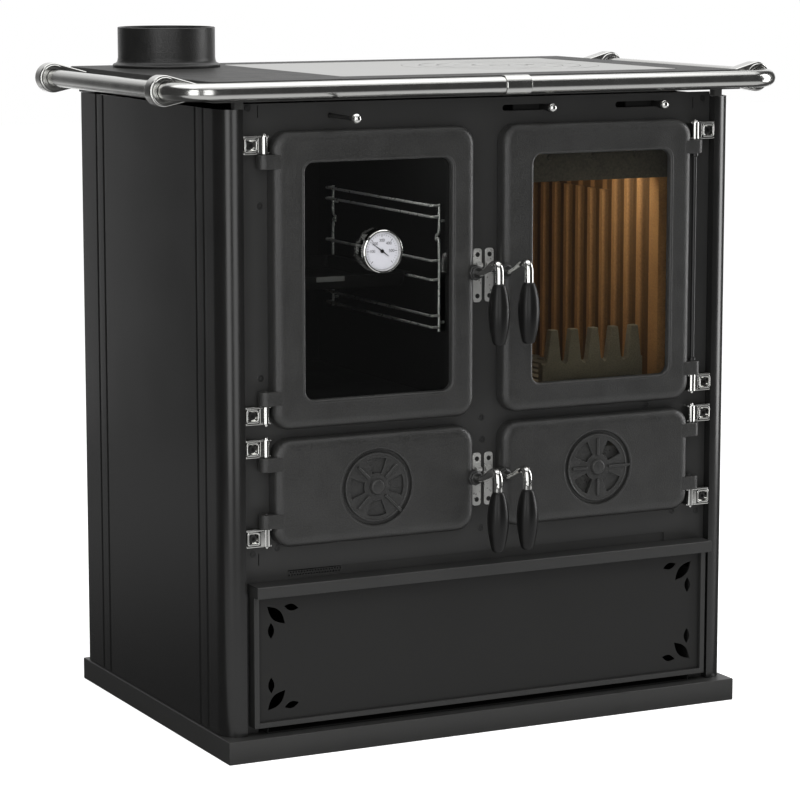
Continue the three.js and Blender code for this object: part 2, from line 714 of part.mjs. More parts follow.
// Two uprights with wire runners held off them, and pegs to the oven's wall.
function makeOvenRack(side) {
  const wall = side < 0 ? ovenX[0] : ovenX[1];
  const x = wall - side * runner.fromWall;
  const inner = x - side * runner.inset;
  const r = runner.wire;
  const low = runnerHeights[0] - rackPegs.below;
  const high = runnerHeights[runnerHeights.length - 1];
  const parts = [];
  for (const y of [runner.front, runner.back]) {
    parts.push(bar(r, [x, y, low], [x, y, high + r], sides.wire));
    for (const z of [low + rackPegs.lowest, high - rackPegs.highest]) {
      parts.push(bar(r, [x, y, z], [wall - side * fit, y, z], sides.peg));
    }
    for (const z of runnerHeights) parts.push(bar(r, [x, y, z], [inner, y, z], sides.peg));
  }
  for (const z of runnerHeights) {
    const [front, back] = [runner.front - runner.overrun, runner.back + runner.overrun];
    parts.push(bar(r, [inner, front, z], [inner, back, z], sides.wire));
  }
  return join(parts);
}

function makeTray() {
  const off = runner.fromWall + runner.inset + runner.wire + tray.clear;
  const [x0, x1] = [ovenX[0] + off, ovenX[1] - off];
  const rest = runnerHeights[2] + runner.wire + fit;
  const s = tray.sheet;
  const y = [tray.front, tray.back];
  return cut(
    join(
      box(x0, x1, ...y, rest - tray.depth, rest + s),
      box(x0 - tray.rim, x1 + tray.rim, ...y, rest, rest + s),
    ),
    box(x0 + s, x1 - s, y[0] + s, y[1] - s, rest - tray.depth + s, rest + s + 1),
  );
}

// ---------------------------------------------------------------- fire
const fireX = [column.inner + door.opening, column.outer - door.opening];
const grateTop = chambers.top + fit + grate.thickness;

function makeGrate() {
  const [x0, x1] = fireX;
  const y = [innerFront + grate.front, lining.back];
  const length = [y[0] + grate.frontLand, y[1] - grate.backLand];
  const pitch = (x1 - x0 - 2 * lining.side) / grate.bars;
  const slots = [];
  for (let i = 0; i < grate.bars; i++) {
    const x = x0 + lining.side + pitch * (i + 0.5);
    slots.push(box(x - grate.slot / 2, x + grate.slot / 2, ...length, chambers.top - 1, grateTop + 1));
  }
  return cut(box(x0, x1, ...y, chambers.top + fit, grateTop), slots);
}

// A flute, as shares of its pitch along the wall and of its depth.
const ribShape = [[0.12, 0], [0.3, 1], [0.7, 1], [0.88, 0]];

// Two sides and a back in one, fluted on the faces towards the fire.
function makeLining() {
  const [x0, x1] = fireX;
  const front = innerFront + lining.front;
  const base = grateTop + fit;
  const s = lining.side;
  const plan = [[x0, front], [x0 + s, front]];
  const inside = [
    new THREE.Vector2(x0 + s, front + flutes.land),
    new THREE.Vector2(x0 + s, lining.back - lining.backWall),
    new THREE.Vector2(x1 - s, lining.back - lining.backWall),
    new THREE.Vector2(x1 - s, front + flutes.land),
  ];
  for (let wall = 0; wall < 3; wall++) {
    const from = inside[wall];
    const run = inside[wall + 1].clone().sub(from);
    const out = new THREE.Vector2(run.y, -run.x).normalize().multiplyScalar(flutes.depth);
    const count = wall === 1 ? flutes.count - 2 : flutes.count;
    for (let i = 0; i < count; i++) {
      for (const [t, d] of ribShape) {
        const p = from.clone().addScaledVector(run, (i + t) / count).addScaledVector(out, -d);
        plan.push([p.x, p.y]);
      }
    }
  }
  plan.push([x1 - s, front], [x1, front], [x1, lining.back], [x0, lining.back]);
  return raised(plan, base, lining.top);
}

// A tooth's right flank, flat top, left flank and gap, as shares of the pitch from its left end.
const toothShape = { foot: 0.93, right: 0.76, left: 0.42, heel: 0.25, gap: 0.12 };

function makeFence() {
  const base = grateTop + fit;
  const pitch = (fence.right - fence.left) / tooth.count;
  const root = tooth.root + tooth.foot;
  const outline = [[fence.left, base], [fence.right, base]];
  for (let i = tooth.count - 1; i >= 0; i--) {
    const x = fence.left + pitch * i;
    outline.push([x + pitch, root], [x + pitch * toothShape.foot, root]);
    outline.push([x + pitch * toothShape.right, tooth.top], [x + pitch * toothShape.left, tooth.top]);
    outline.push([x + pitch * toothShape.heel, root], [x + pitch * toothShape.gap, tooth.root]);
    outline.push([x, tooth.root + tooth.rise]);
  }
  return facing(outline, fence.y - fence.thickness / 2, fence.y + fence.thickness / 2);
}

// A plate that leans forward over the fire, on the top edge of the lining, with a web along each side.
function makeBaffle() {
  const [x0, x1] = fireX;
  const low = lining.top + fit;
  const b = baffle;
  const back = lining.back;
  const t = b.thickness;
  const slope = [[back, low], [back, low + t], [b.front, b.frontZ], [b.front, b.frontZ - t]];
  const web = [[back, low], [back, low + b.toe], [b.front, b.frontZ - b.toe], [b.front, low]];
  return join(
    across([...slope, [back - lining.backWall + b.toe, low]], x0, x1),
    across(web, x0, x0 + b.web),
    across(web, x1 - b.web, x1),
  );
}

// Two chambers side by side: soot under the oven, ash under the fire, open above the ash pan.
function makeLowerLiner() {
  const w = chambers.wall;
  const back = innerFront + chambers.depth;
  const { top } = chambers;
  const bottom = chamberBottom;
  const [ax, bx] = [fireX[0] - chambers.margin, fireX[1] + chambers.margin];
  const fall = [innerFront + throat.front, lining.back - throat.back];
  const inside = [innerFront - 1, back - w, bottom + w, top - w];
  return cut(
    box(-bx - w, bx + w, innerFront, back, bottom, top),
    box(-bx, -ax, ...inside),
    box(ax, bx, ...inside),
    box(-ax + w, ax - w, innerFront + w, back + 1, bottom + w, top - w),
    box(ax + lining.side, bx - lining.side, ...fall, top - w - 1, top + 1),
  );
}

function makeAshPan() {
  const p = ashPan;
  const z = chamberBottom + chambers.wall + fit;
  const s = p.sheet;
  return cut(
    box(p.left, p.right, p.front, p.back, z, z + p.height),
    box(p.left + s, p.right - s, p.front + s, p.back - s, z + s, z + p.height + 1),
  );
}

// ---------------------------------------------------------------- wood drawer
// A leaf between two points, as two arcs of the given bulge.
function leafOutline(x0, z0, x1, z1, bulge) {
  const a = new THREE.Vector2(x0, z0);
  const b = new THREE.Vector2(x1, z1);
  const along = b.clone().sub(a);
  const off = new THREE.Vector2(-along.y, along.x).normalize().multiplyScalar(bulge);
  const side = (from, to, sign) =>
    [0, 0.25, 0.5, 0.75].map((t) =>
      from.clone().lerp(to, t).addScaledVector(off, sign * Math.sin(Math.PI * t)),
    );
  return [...side(a, b, -1), ...side(b, a, 1)];
}

function makeDrawer() {
  const w = drawer.width / 2;
  const front = plateFront - drawer.proud;
  const back = plateFront - fit * 2;
  const panelFace = front + drawerSheet.recess;
  const panelBack = panelFace + drawerSheet.panel;
  const lipFront = plateFront - drawer.lipProud;
  const lipBottom = drawer.lipTop - drawer.lip;
  const { bar: edge } = drawer;
  const t = drawerSheet.panel;
  const e = drawerSheet.edge;
  const shell = cut(
    box(-w, w, front, back, drawer.bottom, lipBottom + e),
    box(-w + edge, w - edge, front - 1, panelFace, drawer.bottom + edge, lipBottom),
    box(-w + t, w - t, panelBack, back + 1, drawer.bottom + t, lipBottom),
  );
  const lip = box(-w - 1, w + 1, lipFront, back, lipBottom, drawer.lipTop);
  const hollow = box(-w + e, w - e, lipFront + t, back - t, lipBottom - 1, drawer.lipTop - t);
  const [left, right] = [-w + edge, w - edge];
  const [low, high] = [drawer.bottom + edge, lipBottom];
  const cuts = [[left, 1], [right, -1]].flatMap(([cx, dx]) =>
    [[low, 1], [high, -1]].flatMap(([cz, dz]) =>
      leaves.map(({ from, to, bulge }) => {
        const ends = [from, to].flatMap(([a, b]) => [cx + dx * a, cz + dz * b]);
        return facing(leafOutline(...ends, bulge), panelFace - 1, panelBack + 1);
      }),
    ),
  );
  const h = drawerBox.width / 2;
  const s = drawerBox.sheet;
  const tubBack = plateFront + drawerBox.depth;
  const tubTop = floor + drawerBox.height;
  const tub = cut(
    box(-h, h, panelBack - 1, tubBack, floor, tubTop),
    box(-h + s, h - s, panelFace - 1, tubBack - s, floor + s, tubTop + 1),
  );
  const frontCut = box(-w - 1, w + 1, front - 1, back, 0, drawer.bottom + 1);
  return join(cut(shell, cuts), cut(lip, hollow), cut(tub, frontCut));
}

// ---------------------------------------------------------------- controls and thermometer
// Where the cone under a ball ends and how wide it is there, as shares of the ball's radius.
const seat = { at: 0.4, width: 0.85 };

function knobbed(x, z, root, out, radius, ballRadius, cone) {
  const tip = plateFront - out;
  return join(
    bar(radius, [x, root, z], [x, tip, z]),
    bar(radius, [x, tip + cone, z], [x, tip + ballRadius * seat.at, z], sides.small, ballRadius * seat.width),
    ball(ballRadius, x, tip, z),
  );
}

function makeDamper() {
  const { x, z } = damper;
  const root = plateFront + damper.inside;
  const half = blade.thickness / 2;
  return join(
    knobbed(x, z, root, damper.out, damper.rod, damper.ball, damper.cone),
    box(x - blade.halfWidth, x + blade.halfWidth, root - blade.length, root, z - half, z + half),
  );
}

function makeAirSlide(slotLeft) {
  const k = slideKnob;
  const b = slideBlade;
  const x = slotLeft + slides.slotLength - k.fromEnd;
  const { z } = slides;
  const h = slides.slotHeight / 2 + b.overlap;
  return join(
    knobbed(x, z, innerFront + b.thickness / 2, k.out, k.stem, k.ball, k.cone),
    box(x - b.left, x + b.right, innerFront, innerFront + b.thickness, z - h, z + h),
  );
}

function makeGaugeCase() {
  const back = pocketFloor;
  const { x, z } = gauge;
  const front = back - gauge.depth;
  return join(
    cut(
      bar(gauge.radius, [x, front, z], [x, back, z], sides.large),
      bar(gauge.radius - gauge.wall, [x, front - 1, z], [x, front + gauge.dial, z], sides.large),
    ),
    bar(gaugeStem.radius, [x, back - 1, z], [x, back + gaugeStem.length, z]),
  );
}

function makeNeedle() {
  const dial = pocketFloor - gauge.depth + gauge.dial;
  const { x, z } = gauge;
  const at = ([dx, dz]) => [x + dx, z + dz];
  const [w, h] = needle.shoulder;
  const outline = [at(needle.tip), at([-w, -h]), at(needle.tail), at([w, h])];
  return join(
    facing(outline, dial - needle.front, dial - needle.back),
    bar(needle.hub, [x, dial - needle.hub, z], [x, dial - fit, z]),
  );
}

// ---------------------------------------------------------------- the stove
add('plinth', makePlinth(), 'paint');
const leftCasing = raised(casingOutline(), floor, body.top);
add('casing_left', leftCasing, 'paint');
add('casing_right', leftCasing, 'paint').scale.x = -1;
add('rear_panel', makeRearPanel(), 'paint');
add('front_plate', makeFrontPlate(), 'paint');

add('cooktop_frame', makeHobFrame(), 'cast');
add('hob_plate', makeHotplate(), 'hobSteel');
const [ring, lid] = makeRingAndLid();
add('hob_ring', ring, 'hobSteel');
add('hob_lid', lid, 'hobSteel');
add('flue_collar', makeFlueCollar(), 'cast');

add('rail_left', makeRail(-1, rail.joint - fit / 2), 'rail');
add('rail_right', makeRightRail(), 'rail');
for (const [sideName, side] of [['left', -1], ['right', 1]]) {
  for (const [endName, end] of [['front', -1], ['rear', 1]]) {
    const mesh = add(`rail_bracket_${endName}_${sideName}`, makeBracket(end > 0), 'rail');
    mesh.position.set(side * rail.x, end * bracket.y, rail.z);
    mesh.scale.x = -side;
  }
}

const glazed = { left: 'oven', right: 'fire' };
for (const [sideName, side] of [['left', -1], ['right', 1]]) {
  add(`${glazed[sideName]}_door`, makeGlazedDoor(side), 'cast');
  const glass = makePane(side);
  const hole = bar(gaugeStem.hole, [gauge.x, pocketFloor, gauge.z], [gauge.x, doorBack, gauge.z]);
  add(`${glazed[sideName]}_glass`, side < 0 ? cut(glass, hole) : glass, 'glass');
  add(side < 0 ? 'lower_left_door' : 'ash_door', makeLowerDoor(side), 'cast');
  const disc = add(`air_disc_${sideName}`, makeAirDisc(side < 0 ? -45 : 0), 'cast');
  disc.position.set(side * columnMiddle, 0, lowerMiddle);

  for (const group of ['upper', 'lower']) {
    hingeHeights(group).brackets.forEach(([z0, z1], low) => {
      const name = `hinge_${group}_${sideName}_${low ? 'bottom' : 'top'}`;
      const mesh = add(name, makeHingeBracket(Boolean(low)), 'chrome');
      mesh.position.set(side * hinge.x, pinY, (z0 + z1) / 2);
      mesh.scale.x = -side;
    });
    const z = group === 'upper' ? boss.upperZ : boss.lowerZ;
    const turningPart = new THREE.Group();
    turningPart.position.set(side * boss.x, doorFace - boss.proud, z);
    stove.add(turningPart);
    add(`handle_rod_${group}_${sideName}`, makeHandleRod(side), 'chrome', turningPart);
    add(`handle_grip_${group}_${sideName}`, makeGrip(), 'grip', turningPart);
    add(`catch_${group}_${sideName}`, makeCatch(side, z), 'zinc');
  }
}
add('thermometer_case', makeGaugeCase(), 'dial');
add('thermometer_needle', makeNeedle(), 'grip');

add('oven_liner', makeOvenLiner(), 'enamel');
add('oven_rack_left', makeOvenRack(-1), 'zinc');
add('oven_rack_right', makeOvenRack(1), 'zinc');
add('oven_tray', makeTray(), 'enamel');

add('fire_grate', makeGrate(), 'cast');
add('firebox_lining', makeLining(), 'lining');
add('log_fence', makeFence(), 'cast');
add('baffle_plate', makeBaffle(), 'cast');
add('lower_liner', makeLowerLiner(), 'paint');
add('ash_pan', makeAshPan(), 'zinc');

add('wood_drawer', makeDrawer(), 'paint');
add('damper_rod', makeDamper(), 'chrome');
add('air_slide_left', makeAirSlide(slides.left), 'chrome');
add('air_slide_right', makeAirSlide(slides.right), 'chrome');

export default stove;
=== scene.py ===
# %% [markdown]
# # A wood-fired cookstove
# The steel and cast-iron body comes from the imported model, which fixes every size and every joint. This
# script dresses it: each visible part is rebuilt with the round edges and castings of the real one, gets its
# finish, and rides on the body that moves it. Sizes here are in millimetres, measured from the frame's boxes
# wherever a part has one, and turned into metres when a mesh is made.

# %% Load the frame
import json
from math import cos, pi, radians, sin

import bmesh
import bpy
from mathutils import Matrix, Vector


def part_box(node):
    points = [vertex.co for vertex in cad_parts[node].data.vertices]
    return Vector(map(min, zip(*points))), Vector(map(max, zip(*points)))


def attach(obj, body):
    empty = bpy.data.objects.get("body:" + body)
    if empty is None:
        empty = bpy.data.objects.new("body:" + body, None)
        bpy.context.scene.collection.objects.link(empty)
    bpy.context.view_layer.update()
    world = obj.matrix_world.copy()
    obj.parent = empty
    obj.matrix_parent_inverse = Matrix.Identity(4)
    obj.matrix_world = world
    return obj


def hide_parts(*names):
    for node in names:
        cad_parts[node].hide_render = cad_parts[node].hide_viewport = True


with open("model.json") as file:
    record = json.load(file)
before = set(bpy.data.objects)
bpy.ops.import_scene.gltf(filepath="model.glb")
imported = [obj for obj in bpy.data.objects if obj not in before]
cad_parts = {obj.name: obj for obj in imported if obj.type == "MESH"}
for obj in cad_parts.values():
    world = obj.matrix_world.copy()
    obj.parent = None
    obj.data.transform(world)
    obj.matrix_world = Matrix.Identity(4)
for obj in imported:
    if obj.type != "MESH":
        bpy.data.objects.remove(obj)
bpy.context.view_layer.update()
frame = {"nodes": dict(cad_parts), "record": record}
MM = 0.001
body_of = {node: body for body, nodes in frame["record"]["behaviour"]["bodies"].items() for node in nodes}

# %% [markdown]
# ## Camera
# The picture was taken from in front and to the left, a little above the hob, with a long lens. The camera
# stands at the same place. Its optical axis meets the middle of the picture, so that it needs no shift.

# %% Camera
camera_place = Vector((-1.8638, -3.6975, 1.0439))
camera_turn = 26.68
camera_dip = 8.75
camera = bpy.data.objects.new("camera", bpy.data.cameras.new("camera"))
bpy.context.scene.collection.objects.link(camera)
camera.location = camera_place
camera.rotation_euler = (radians(90 - camera_dip), 0, radians(-camera_turn))
camera.data.lens = 137.43
camera.data.sensor_width = 36
bpy.context.scene.camera = camera

# %% [markdown]
# ## Finishes
# Almost everything here is black, so the parts are told apart by their surface: pressed steel is smooth and
# satin, cast iron is grainy and dull, the hob is bare ground steel. Three effects are shared by several
# finishes, and each is a node group that puts out masks and heights: the pebbled grain of sand casting, long
# grinding lines, and the large soft smudges that break up a sheen.

# %% A helper for node groups
def new_group(name, inputs, outputs):
    """An empty shader node group with float inputs (name, default) and float outputs."""
    group = bpy.data.node_groups.new(name, "ShaderNodeTree")
    for label, value in inputs:
        socket = group.interface.new_socket(label, in_out="INPUT", socket_type="NodeSocketFloat")
        socket.default_value = value
    for label in outputs:
        group.interface.new_socket(label, in_out="OUTPUT", socket_type="NodeSocketFloat")
    return group, group.nodes.new("NodeGroupInput"), group.nodes.new("NodeGroupOutput")


def math_node(nodes, links, operation, first, second=None):
    """A Math node whose inputs are sockets or numbers; returns its output socket."""
    node = nodes.new("ShaderNodeMath")
    node.operation = operation
    for socket, value in zip(node.inputs, (first, second)):
        if isinstance(value, bpy.types.NodeSocket):
            links.new(value, socket)
        elif value is not None:
            socket.default_value = value
    return node.outputs[0]


# %% The shared effects
def make_casting_grain():
    """Fine pebbles from the sand mould, with larger shallow unevenness under them."""
    group, given, out = new_group("casting_grain", [("Grains per metre", 900.0)], ["Height", "Mask"])
    nodes, links = group.nodes, group.links
    place = nodes.new("ShaderNodeTexCoord").outputs["Object"]
    fine = nodes.new("ShaderNodeTexNoise")
    fine.inputs["Detail"].default_value = 3
    links.new(place, fine.inputs["Vector"])
    links.new(given.outputs[0], fine.inputs["Scale"])
    broad = nodes.new("ShaderNodeTexNoise")
    broad.inputs["Scale"].default_value = 38
    broad.inputs["Detail"].default_value = 2
    links.new(place, broad.inputs["Vector"])
    wavy = math_node(nodes, links, "MULTIPLY", broad.outputs["Fac"], 0.6)
    links.new(math_node(nodes, links, "ADD", fine.outputs["Fac"], wavy), out.inputs["Height"])
    pebbles = math_node(nodes, links, "MULTIPLY", fine.outputs["Fac"], 2.4)
    patches = math_node(nodes, links, "MULTIPLY", broad.outputs["Fac"], 0.8)
    level = math_node(nodes, links, "SUBTRACT", math_node(nodes, links, "ADD", pebbles, patches), 1.1)
    links.new(level, out.inputs["Mask"])
    return group


def make_grinding_lines():
    """Noise drawn out along X, as a belt grinder leaves it."""
    group, given, out = new_group("grinding_lines", [("Lines per metre", 1500.0)], ["Height", "Mask"])
    nodes, links = group.nodes, group.links
    place = nodes.new("ShaderNodeTexCoord").outputs["Object"]
    stretch = nodes.new("ShaderNodeMapping")
    stretch.inputs["Scale"].default_value = (0.012, 1, 1)
    links.new(place, stretch.inputs["Vector"])
    lines = nodes.new("ShaderNodeTexNoise")
    lines.inputs["Detail"].default_value = 4
    links.new(stretch.outputs["Vector"], lines.inputs["Vector"])
    links.new(given.outputs[0], lines.inputs["Scale"])
    links.new(lines.outputs["Fac"], out.inputs["Height"])
    links.new(lines.outputs["Fac"], out.inputs["Mask"])
    return group


def make_smudges():
    """Large soft patches, from 0 to 1."""
    group, given, out = new_group("smudges", [("Patches per metre", 9.0)], ["Mask"])
    nodes, links = group.nodes, group.links
    place = nodes.new("ShaderNodeTexCoord").outputs["Object"]
    patches = nodes.new("ShaderNodeTexNoise")
    patches.inputs["Detail"].default_value = 3
    patches.inputs["Roughness"].default_value = 0.6
    links.new(place, patches.inputs["Vector"])
    links.new(given.outputs[0], patches.inputs["Scale"])
    links.new(patches.outputs["Fac"], out.inputs["Mask"])
    return group


effects = {"grain": make_casting_grain(), "lines": make_grinding_lines(), "smudges": make_smudges()}

# %% [markdown]
# A finish is a Principled shader. Its colour swings between two values by a mask, its roughness between two
# others, and its bump has a depth in millimetres. Which shared effect drives them is named for each finish.


def finish(name, slot, dark, light, rough, effect, per_metre, depth=0.0, **plain):
    """A material: colours and roughness vary between two ends with the effect's mask."""
    material = bpy.data.materials.new(name)
    material.use_nodes = True
    nodes, links = material.node_tree.nodes, material.node_tree.links
    shader = nodes["Principled BSDF"]
    source = nodes.new("ShaderNodeGroup")
    source.node_tree = effects[effect]
    source.inputs[0].default_value = per_metre
    colour = nodes.new("ShaderNodeMix")
    colour.data_type = "RGBA"
    links.new(source.outputs["Mask"], colour.inputs["Factor"])
    colour.inputs[6].default_value = (*dark, 1)
    colour.inputs[7].default_value = (*light, 1)
    links.new(colour.outputs[2], shader.inputs["Base Color"])
    sheen = nodes.new("ShaderNodeMapRange")
    links.new(source.outputs["Mask"], sheen.inputs["Value"])
    sheen.inputs["From Min"].default_value = 0.25
    sheen.inputs["From Max"].default_value = 0.75
    sheen.inputs["To Min"].default_value = rough[0]
    sheen.inputs["To Max"].default_value = rough[1]
    links.new(sheen.outputs["Result"], shader.inputs["Roughness"])
    if depth and "Height" in source.outputs:
        bump = nodes.new("ShaderNodeBump")
        bump.inputs["Distance"].default_value = depth * MM
        links.new(source.outputs["Height"], bump.inputs["Height"])
        links.new(bump.outputs["Normal"], shader.inputs["Normal"])
    for socket, value in plain.items():
        shader.inputs[socket.replace("_", " ")].default_value = value
    return material


def grey(level):
    """A neutral colour, a touch warm as stove black is."""
    return (level, level, level * 0.97)


# %% All the finishes
satin = finish("satin_black_steel", "paint", grey(0.006), grey(0.01), (0.2, 0.27), "smudges", 7)
charcoal = finish("charcoal_steel", "paint", grey(0.018), grey(0.023), (0.4, 0.48), "smudges", 11)
drawer_black = finish(
    "drawer_steel", "paint", grey(0.012), grey(0.015),
    (0.4, 0.48), "smudges", 9, Specular_IOR_Level=0.25,
)
plinth_black = finish("plinth_steel", "paint", grey(0.024), grey(0.03), (0.42, 0.5), "smudges", 9)
cast = finish("black_cast_iron", "cast", grey(0.016), grey(0.028), (0.32, 0.44), "grain", 560, depth=0.38)
flue_cast = finish("flue_cast_iron", "cast", grey(0.01), grey(0.018), (0.32, 0.44), "grain", 600, depth=0.3)
hob_frame = finish(
    "hob_frame_iron", "cast", grey(0.026), grey(0.045),
    (0.42, 0.55), "grain", 900, 0.08, Specular_IOR_Level=0.1,
)
ground = finish(
    "ground_steel", "hob_steel", grey(0.38), grey(0.46),
    (0.3, 0.42), "lines", 1500, 0.02, Metallic=1.0,
)
polished = finish(
    "polished_chrome", "chrome", grey(0.66), grey(0.74),
    (0.06, 0.11), "smudges", 60, Metallic=1.0,
)
tube_steel = finish(
    "rail_tube", "rail_steel", grey(0.5), grey(0.57),
    (0.16, 0.23), "smudges", 30, Metallic=1.0,
)
zinc = finish("zinc_plate", "zinc", grey(0.5), grey(0.62), (0.24, 0.36), "smudges", 160, Metallic=0.65)
screw_black = finish("black_screws", "paint", grey(0.008), grey(0.014), (0.3, 0.4), "smudges", 90)
soot = finish(
    "soot_black", "paint", grey(0.003), grey(0.005),
    (0.7, 0.8), "smudges", 90, Specular_IOR_Level=0.2,
)
gloss = finish(
    "black_grip", "grip", grey(0.004), grey(0.006),
    (0.3, 0.36), "smudges", 40, Specular_IOR_Level=0.28,
)
enamel = finish(
    "oven_enamel", "enamel", grey(0.003), grey(0.006),
    (0.45, 0.55), "smudges", 12, Specular_IOR_Level=0.04,
)
# Burnt iron made several times lighter: painted light on the fence and grate, where the pane keeps lamps out.
fence_iron_painted_light = finish(
    "burnt_fence_painted_light", "cast", (0.13, 0.108, 0.07), (0.2, 0.165, 0.11),
    (0.6, 0.75), "grain", 620, 0.1, Specular_IOR_Level=0.1,
)
scorched = finish(
    "scorched_plate", "cast", (0.06, 0.053, 0.042), (0.1, 0.086, 0.066), (0.6, 0.75), "grain", 300, 0.1,
    Specular_IOR_Level=0.1,
)
worn_edge = finish("worn_tray_edge", "enamel", grey(0.07), grey(0.1), (0.45, 0.6), "smudges", 120)
dial_white = finish("dial_white", "dial", (0.53, 0.53, 0.57), (0.58, 0.58, 0.62), (0.3, 0.35), "smudges", 200)
# Burnt brown; further down, painted shade darkens the valleys of its flutes.
lining_iron_and_painted_shade = finish(
    "burnt_lining_and_painted_shade", "firebrick", (0.28, 0.135, 0.045), (0.4, 0.2, 0.07), (0.6, 0.8), "grain", 420, depth=0.1,
    Specular_IOR_Level=0.1,
)
print("finishes:", len(bpy.data.materials))

# %% [markdown]
# Glass is clear and a little grey. The export reads its transmission as a plain number, so nothing drives it.

# %% Glass
glass = bpy.data.materials.new("clear_glass")
glass.use_nodes = True
pane_shader = glass.node_tree.nodes["Principled BSDF"]
pane_shader.inputs["Base Color"].default_value = (0.86, 0.88, 0.86, 1)
pane_shader.inputs["Roughness"].default_value = 0.0
pane_shader.inputs["IOR"].default_value = 1.45
pane_shader.inputs["Transmission Weight"].default_value = 1.0

# %% [markdown]
# ## Ways of making parts
# Four families cover the stove. Sheet parts are outlines with holes, pushed through a thickness and with
# their edges broken. Round parts are turned. Rods and rails are swept. Castings with a rounded rim are
# lofted through rings of points, so that the rim's section is drawn as it would be in a pattern shop.

# %% Outlines
def arc(cx, cy, radius, start, end, steps):
    """Points on an arc in degrees, both ends included."""
    angles = [radians(start + (end - start) * i / steps) for i in range(steps + 1)]
    return [(cx + radius * cos(a), cy + radius * sin(a)) for a in angles]


def rounded(x0, x1, y0, y1, radius, steps=8):
    """A rectangle with round corners, anticlockwise."""
    r = max(radius, 0.01)
    return (
        arc(x1 - r, y0 + r, r, -90, 0, steps)
        + arc(x1 - r, y1 - r, r, 0, 90, steps)
        + arc(x0 + r, y1 - r, r, 90, 180, steps)
        + arc(x0 + r, y0 + r, r, 180, 270, steps)
    )


def circle(cx, cy, radius, steps=48):
    return arc(cx, cy, radius, 0, 360 - 360 / steps, steps - 1)


# %% Solids in millimetres
def put(axis, a, b, along):
    """A point of an outline (a, b), at a distance along the axis that the outline is square to."""
    return {"X": (along, a, b), "Y": (a, along, b), "Z": (a, b, along)}[axis]


def sheet(axis, outline, holes, low, high, edge=0.4, steps=1):
    """An outline with holes, through a thickness, with its sharp edges broken."""
    bm = bmesh.new()
    for loop in [outline, *holes]:
        ring = [bm.verts.new(put(axis, a, b, low)) for a, b in loop]
        for i, vert in enumerate(ring):
            bm.edges.new((vert, ring[i - 1]))
    bmesh.ops.triangle_fill(bm, use_beauty=True, use_dissolve=False, edges=bm.edges[:])
    made = bmesh.ops.extrude_face_region(bm, geom=bm.faces[:], use_keep_orig=True)
    moved = [v for v in made["geom"] if isinstance(v, bmesh.types.BMVert)]
    bmesh.ops.translate(bm, verts=moved, vec=Vector(put(axis, 0, 0, high - low)))
    bmesh.ops.recalc_face_normals(bm, faces=bm.faces[:])
    if edge:
        rim = [e for e in bm.edges if e.is_manifold and e.calc_face_angle() > radians(60)]
        bmesh.ops.bevel(bm, geom=rim, offset=edge, segments=steps + 1, profile=0.5, affect="EDGES")
    return bm


def block(x0, x1, y0, y1, z0, z1, edge=0.5, steps=1):
    """A box with broken edges."""
    bm = bmesh.new()
    bmesh.ops.create_cube(bm, size=1)
    bmesh.ops.scale(bm, vec=(abs(x1 - x0), abs(y1 - y0), abs(z1 - z0)), verts=bm.verts[:])
    bmesh.ops.translate(bm, vec=((x0 + x1) / 2, (y0 + y1) / 2, (z0 + z1) / 2), verts=bm.verts[:])
    if edge:
        bmesh.ops.bevel(bm, geom=bm.edges[:], offset=edge, segments=steps + 1, profile=0.5, affect="EDGES")
    return bm


def loft(rings, caps=True, looped=False):
    """A skin over rings of the same number of points; looped joins the last ring to the first."""
    bm = bmesh.new()
    rows = [[bm.verts.new(p) for p in ring] for ring in rings]
    pairs = list(zip(rows, rows[1:])) + ([(rows[-1], rows[0])] if looped else [])
    for one, two in pairs:
        for i in range(len(one)):
            j = (i + 1) % len(one)
            bm.faces.new((one[i], one[j], two[j], two[i]))
    if caps and not looped:
        bm.faces.new(rows[0])
        bm.faces.new(rows[-1])
    bmesh.ops.recalc_face_normals(bm, faces=bm.faces[:])
    return bm


def turned(axis, a, b, profile, steps=72, looped=False):
    """A profile of (radius, along) turned about an axis through (a, b). Radius 0 closes an end."""
    bm = bmesh.new()
    rows = []
    for radius, along in profile:
        if radius <= 0:
            rows.append([bm.verts.new(put(axis, a, b, along))] * steps)
        else:
            rows.append([bm.verts.new(put(axis, *p, along)) for p in circle(a, b, radius, steps)])
    pairs = list(zip(rows, rows[1:])) + ([(rows[-1], rows[0])] if looped else [])
    for one, two in pairs:
        for i in range(steps):
            j = (i + 1) % steps
            corners = list(dict.fromkeys((one[i], one[j], two[j], two[i])))
            if len(corners) > 2:
                bm.faces.new(corners)
    bmesh.ops.recalc_face_normals(bm, faces=bm.faces[:])
    return bm


def swept(points, radii, steps=24):
    """A round rod through points, with a radius at each, closed at both ends."""
    points = [Vector(p) for p in points]
    radii = radii if isinstance(radii, list) else [radii] * len(points)
    side = Vector((0, 0, 1))
    rings = []
    for i, point in enumerate(points):
        along = (points[min(i + 1, len(points) - 1)] - points[max(i - 1, 0)]).normalized()
        side = side - along * side.dot(along)
        if side.length < 0.1:
            side = Vector((1, 0, 0)) - along * along.x
        side.normalize()
        up = along.cross(side)
        turns = [2 * pi * k / steps for k in range(steps)]
        rings.append([point + (side * cos(t) + up * sin(t)) * radii[i] for t in turns])
    return loft(rings)


def carve(solid, tool):
    """Cuts one solid out of another."""
    scratch = []
    for name, bm in (("carved", solid), ("tool", tool)):
        mesh = bpy.data.meshes.new(name)
        bm.to_mesh(mesh)
        bm.free()
        scratch.append(bpy.data.objects.new(name, mesh))
        bpy.context.scene.collection.objects.link(scratch[-1])
    cut = scratch[0].modifiers.new("cut", "BOOLEAN")
    cut.object, cut.operation, cut.solver = scratch[1], "DIFFERENCE", "EXACT"
    result = scratch[0].evaluated_get(bpy.context.evaluated_depsgraph_get()).to_mesh()
    bm = bmesh.new()
    bm.from_mesh(result)
    for thing in scratch:
        bpy.data.objects.remove(thing)
    return bm


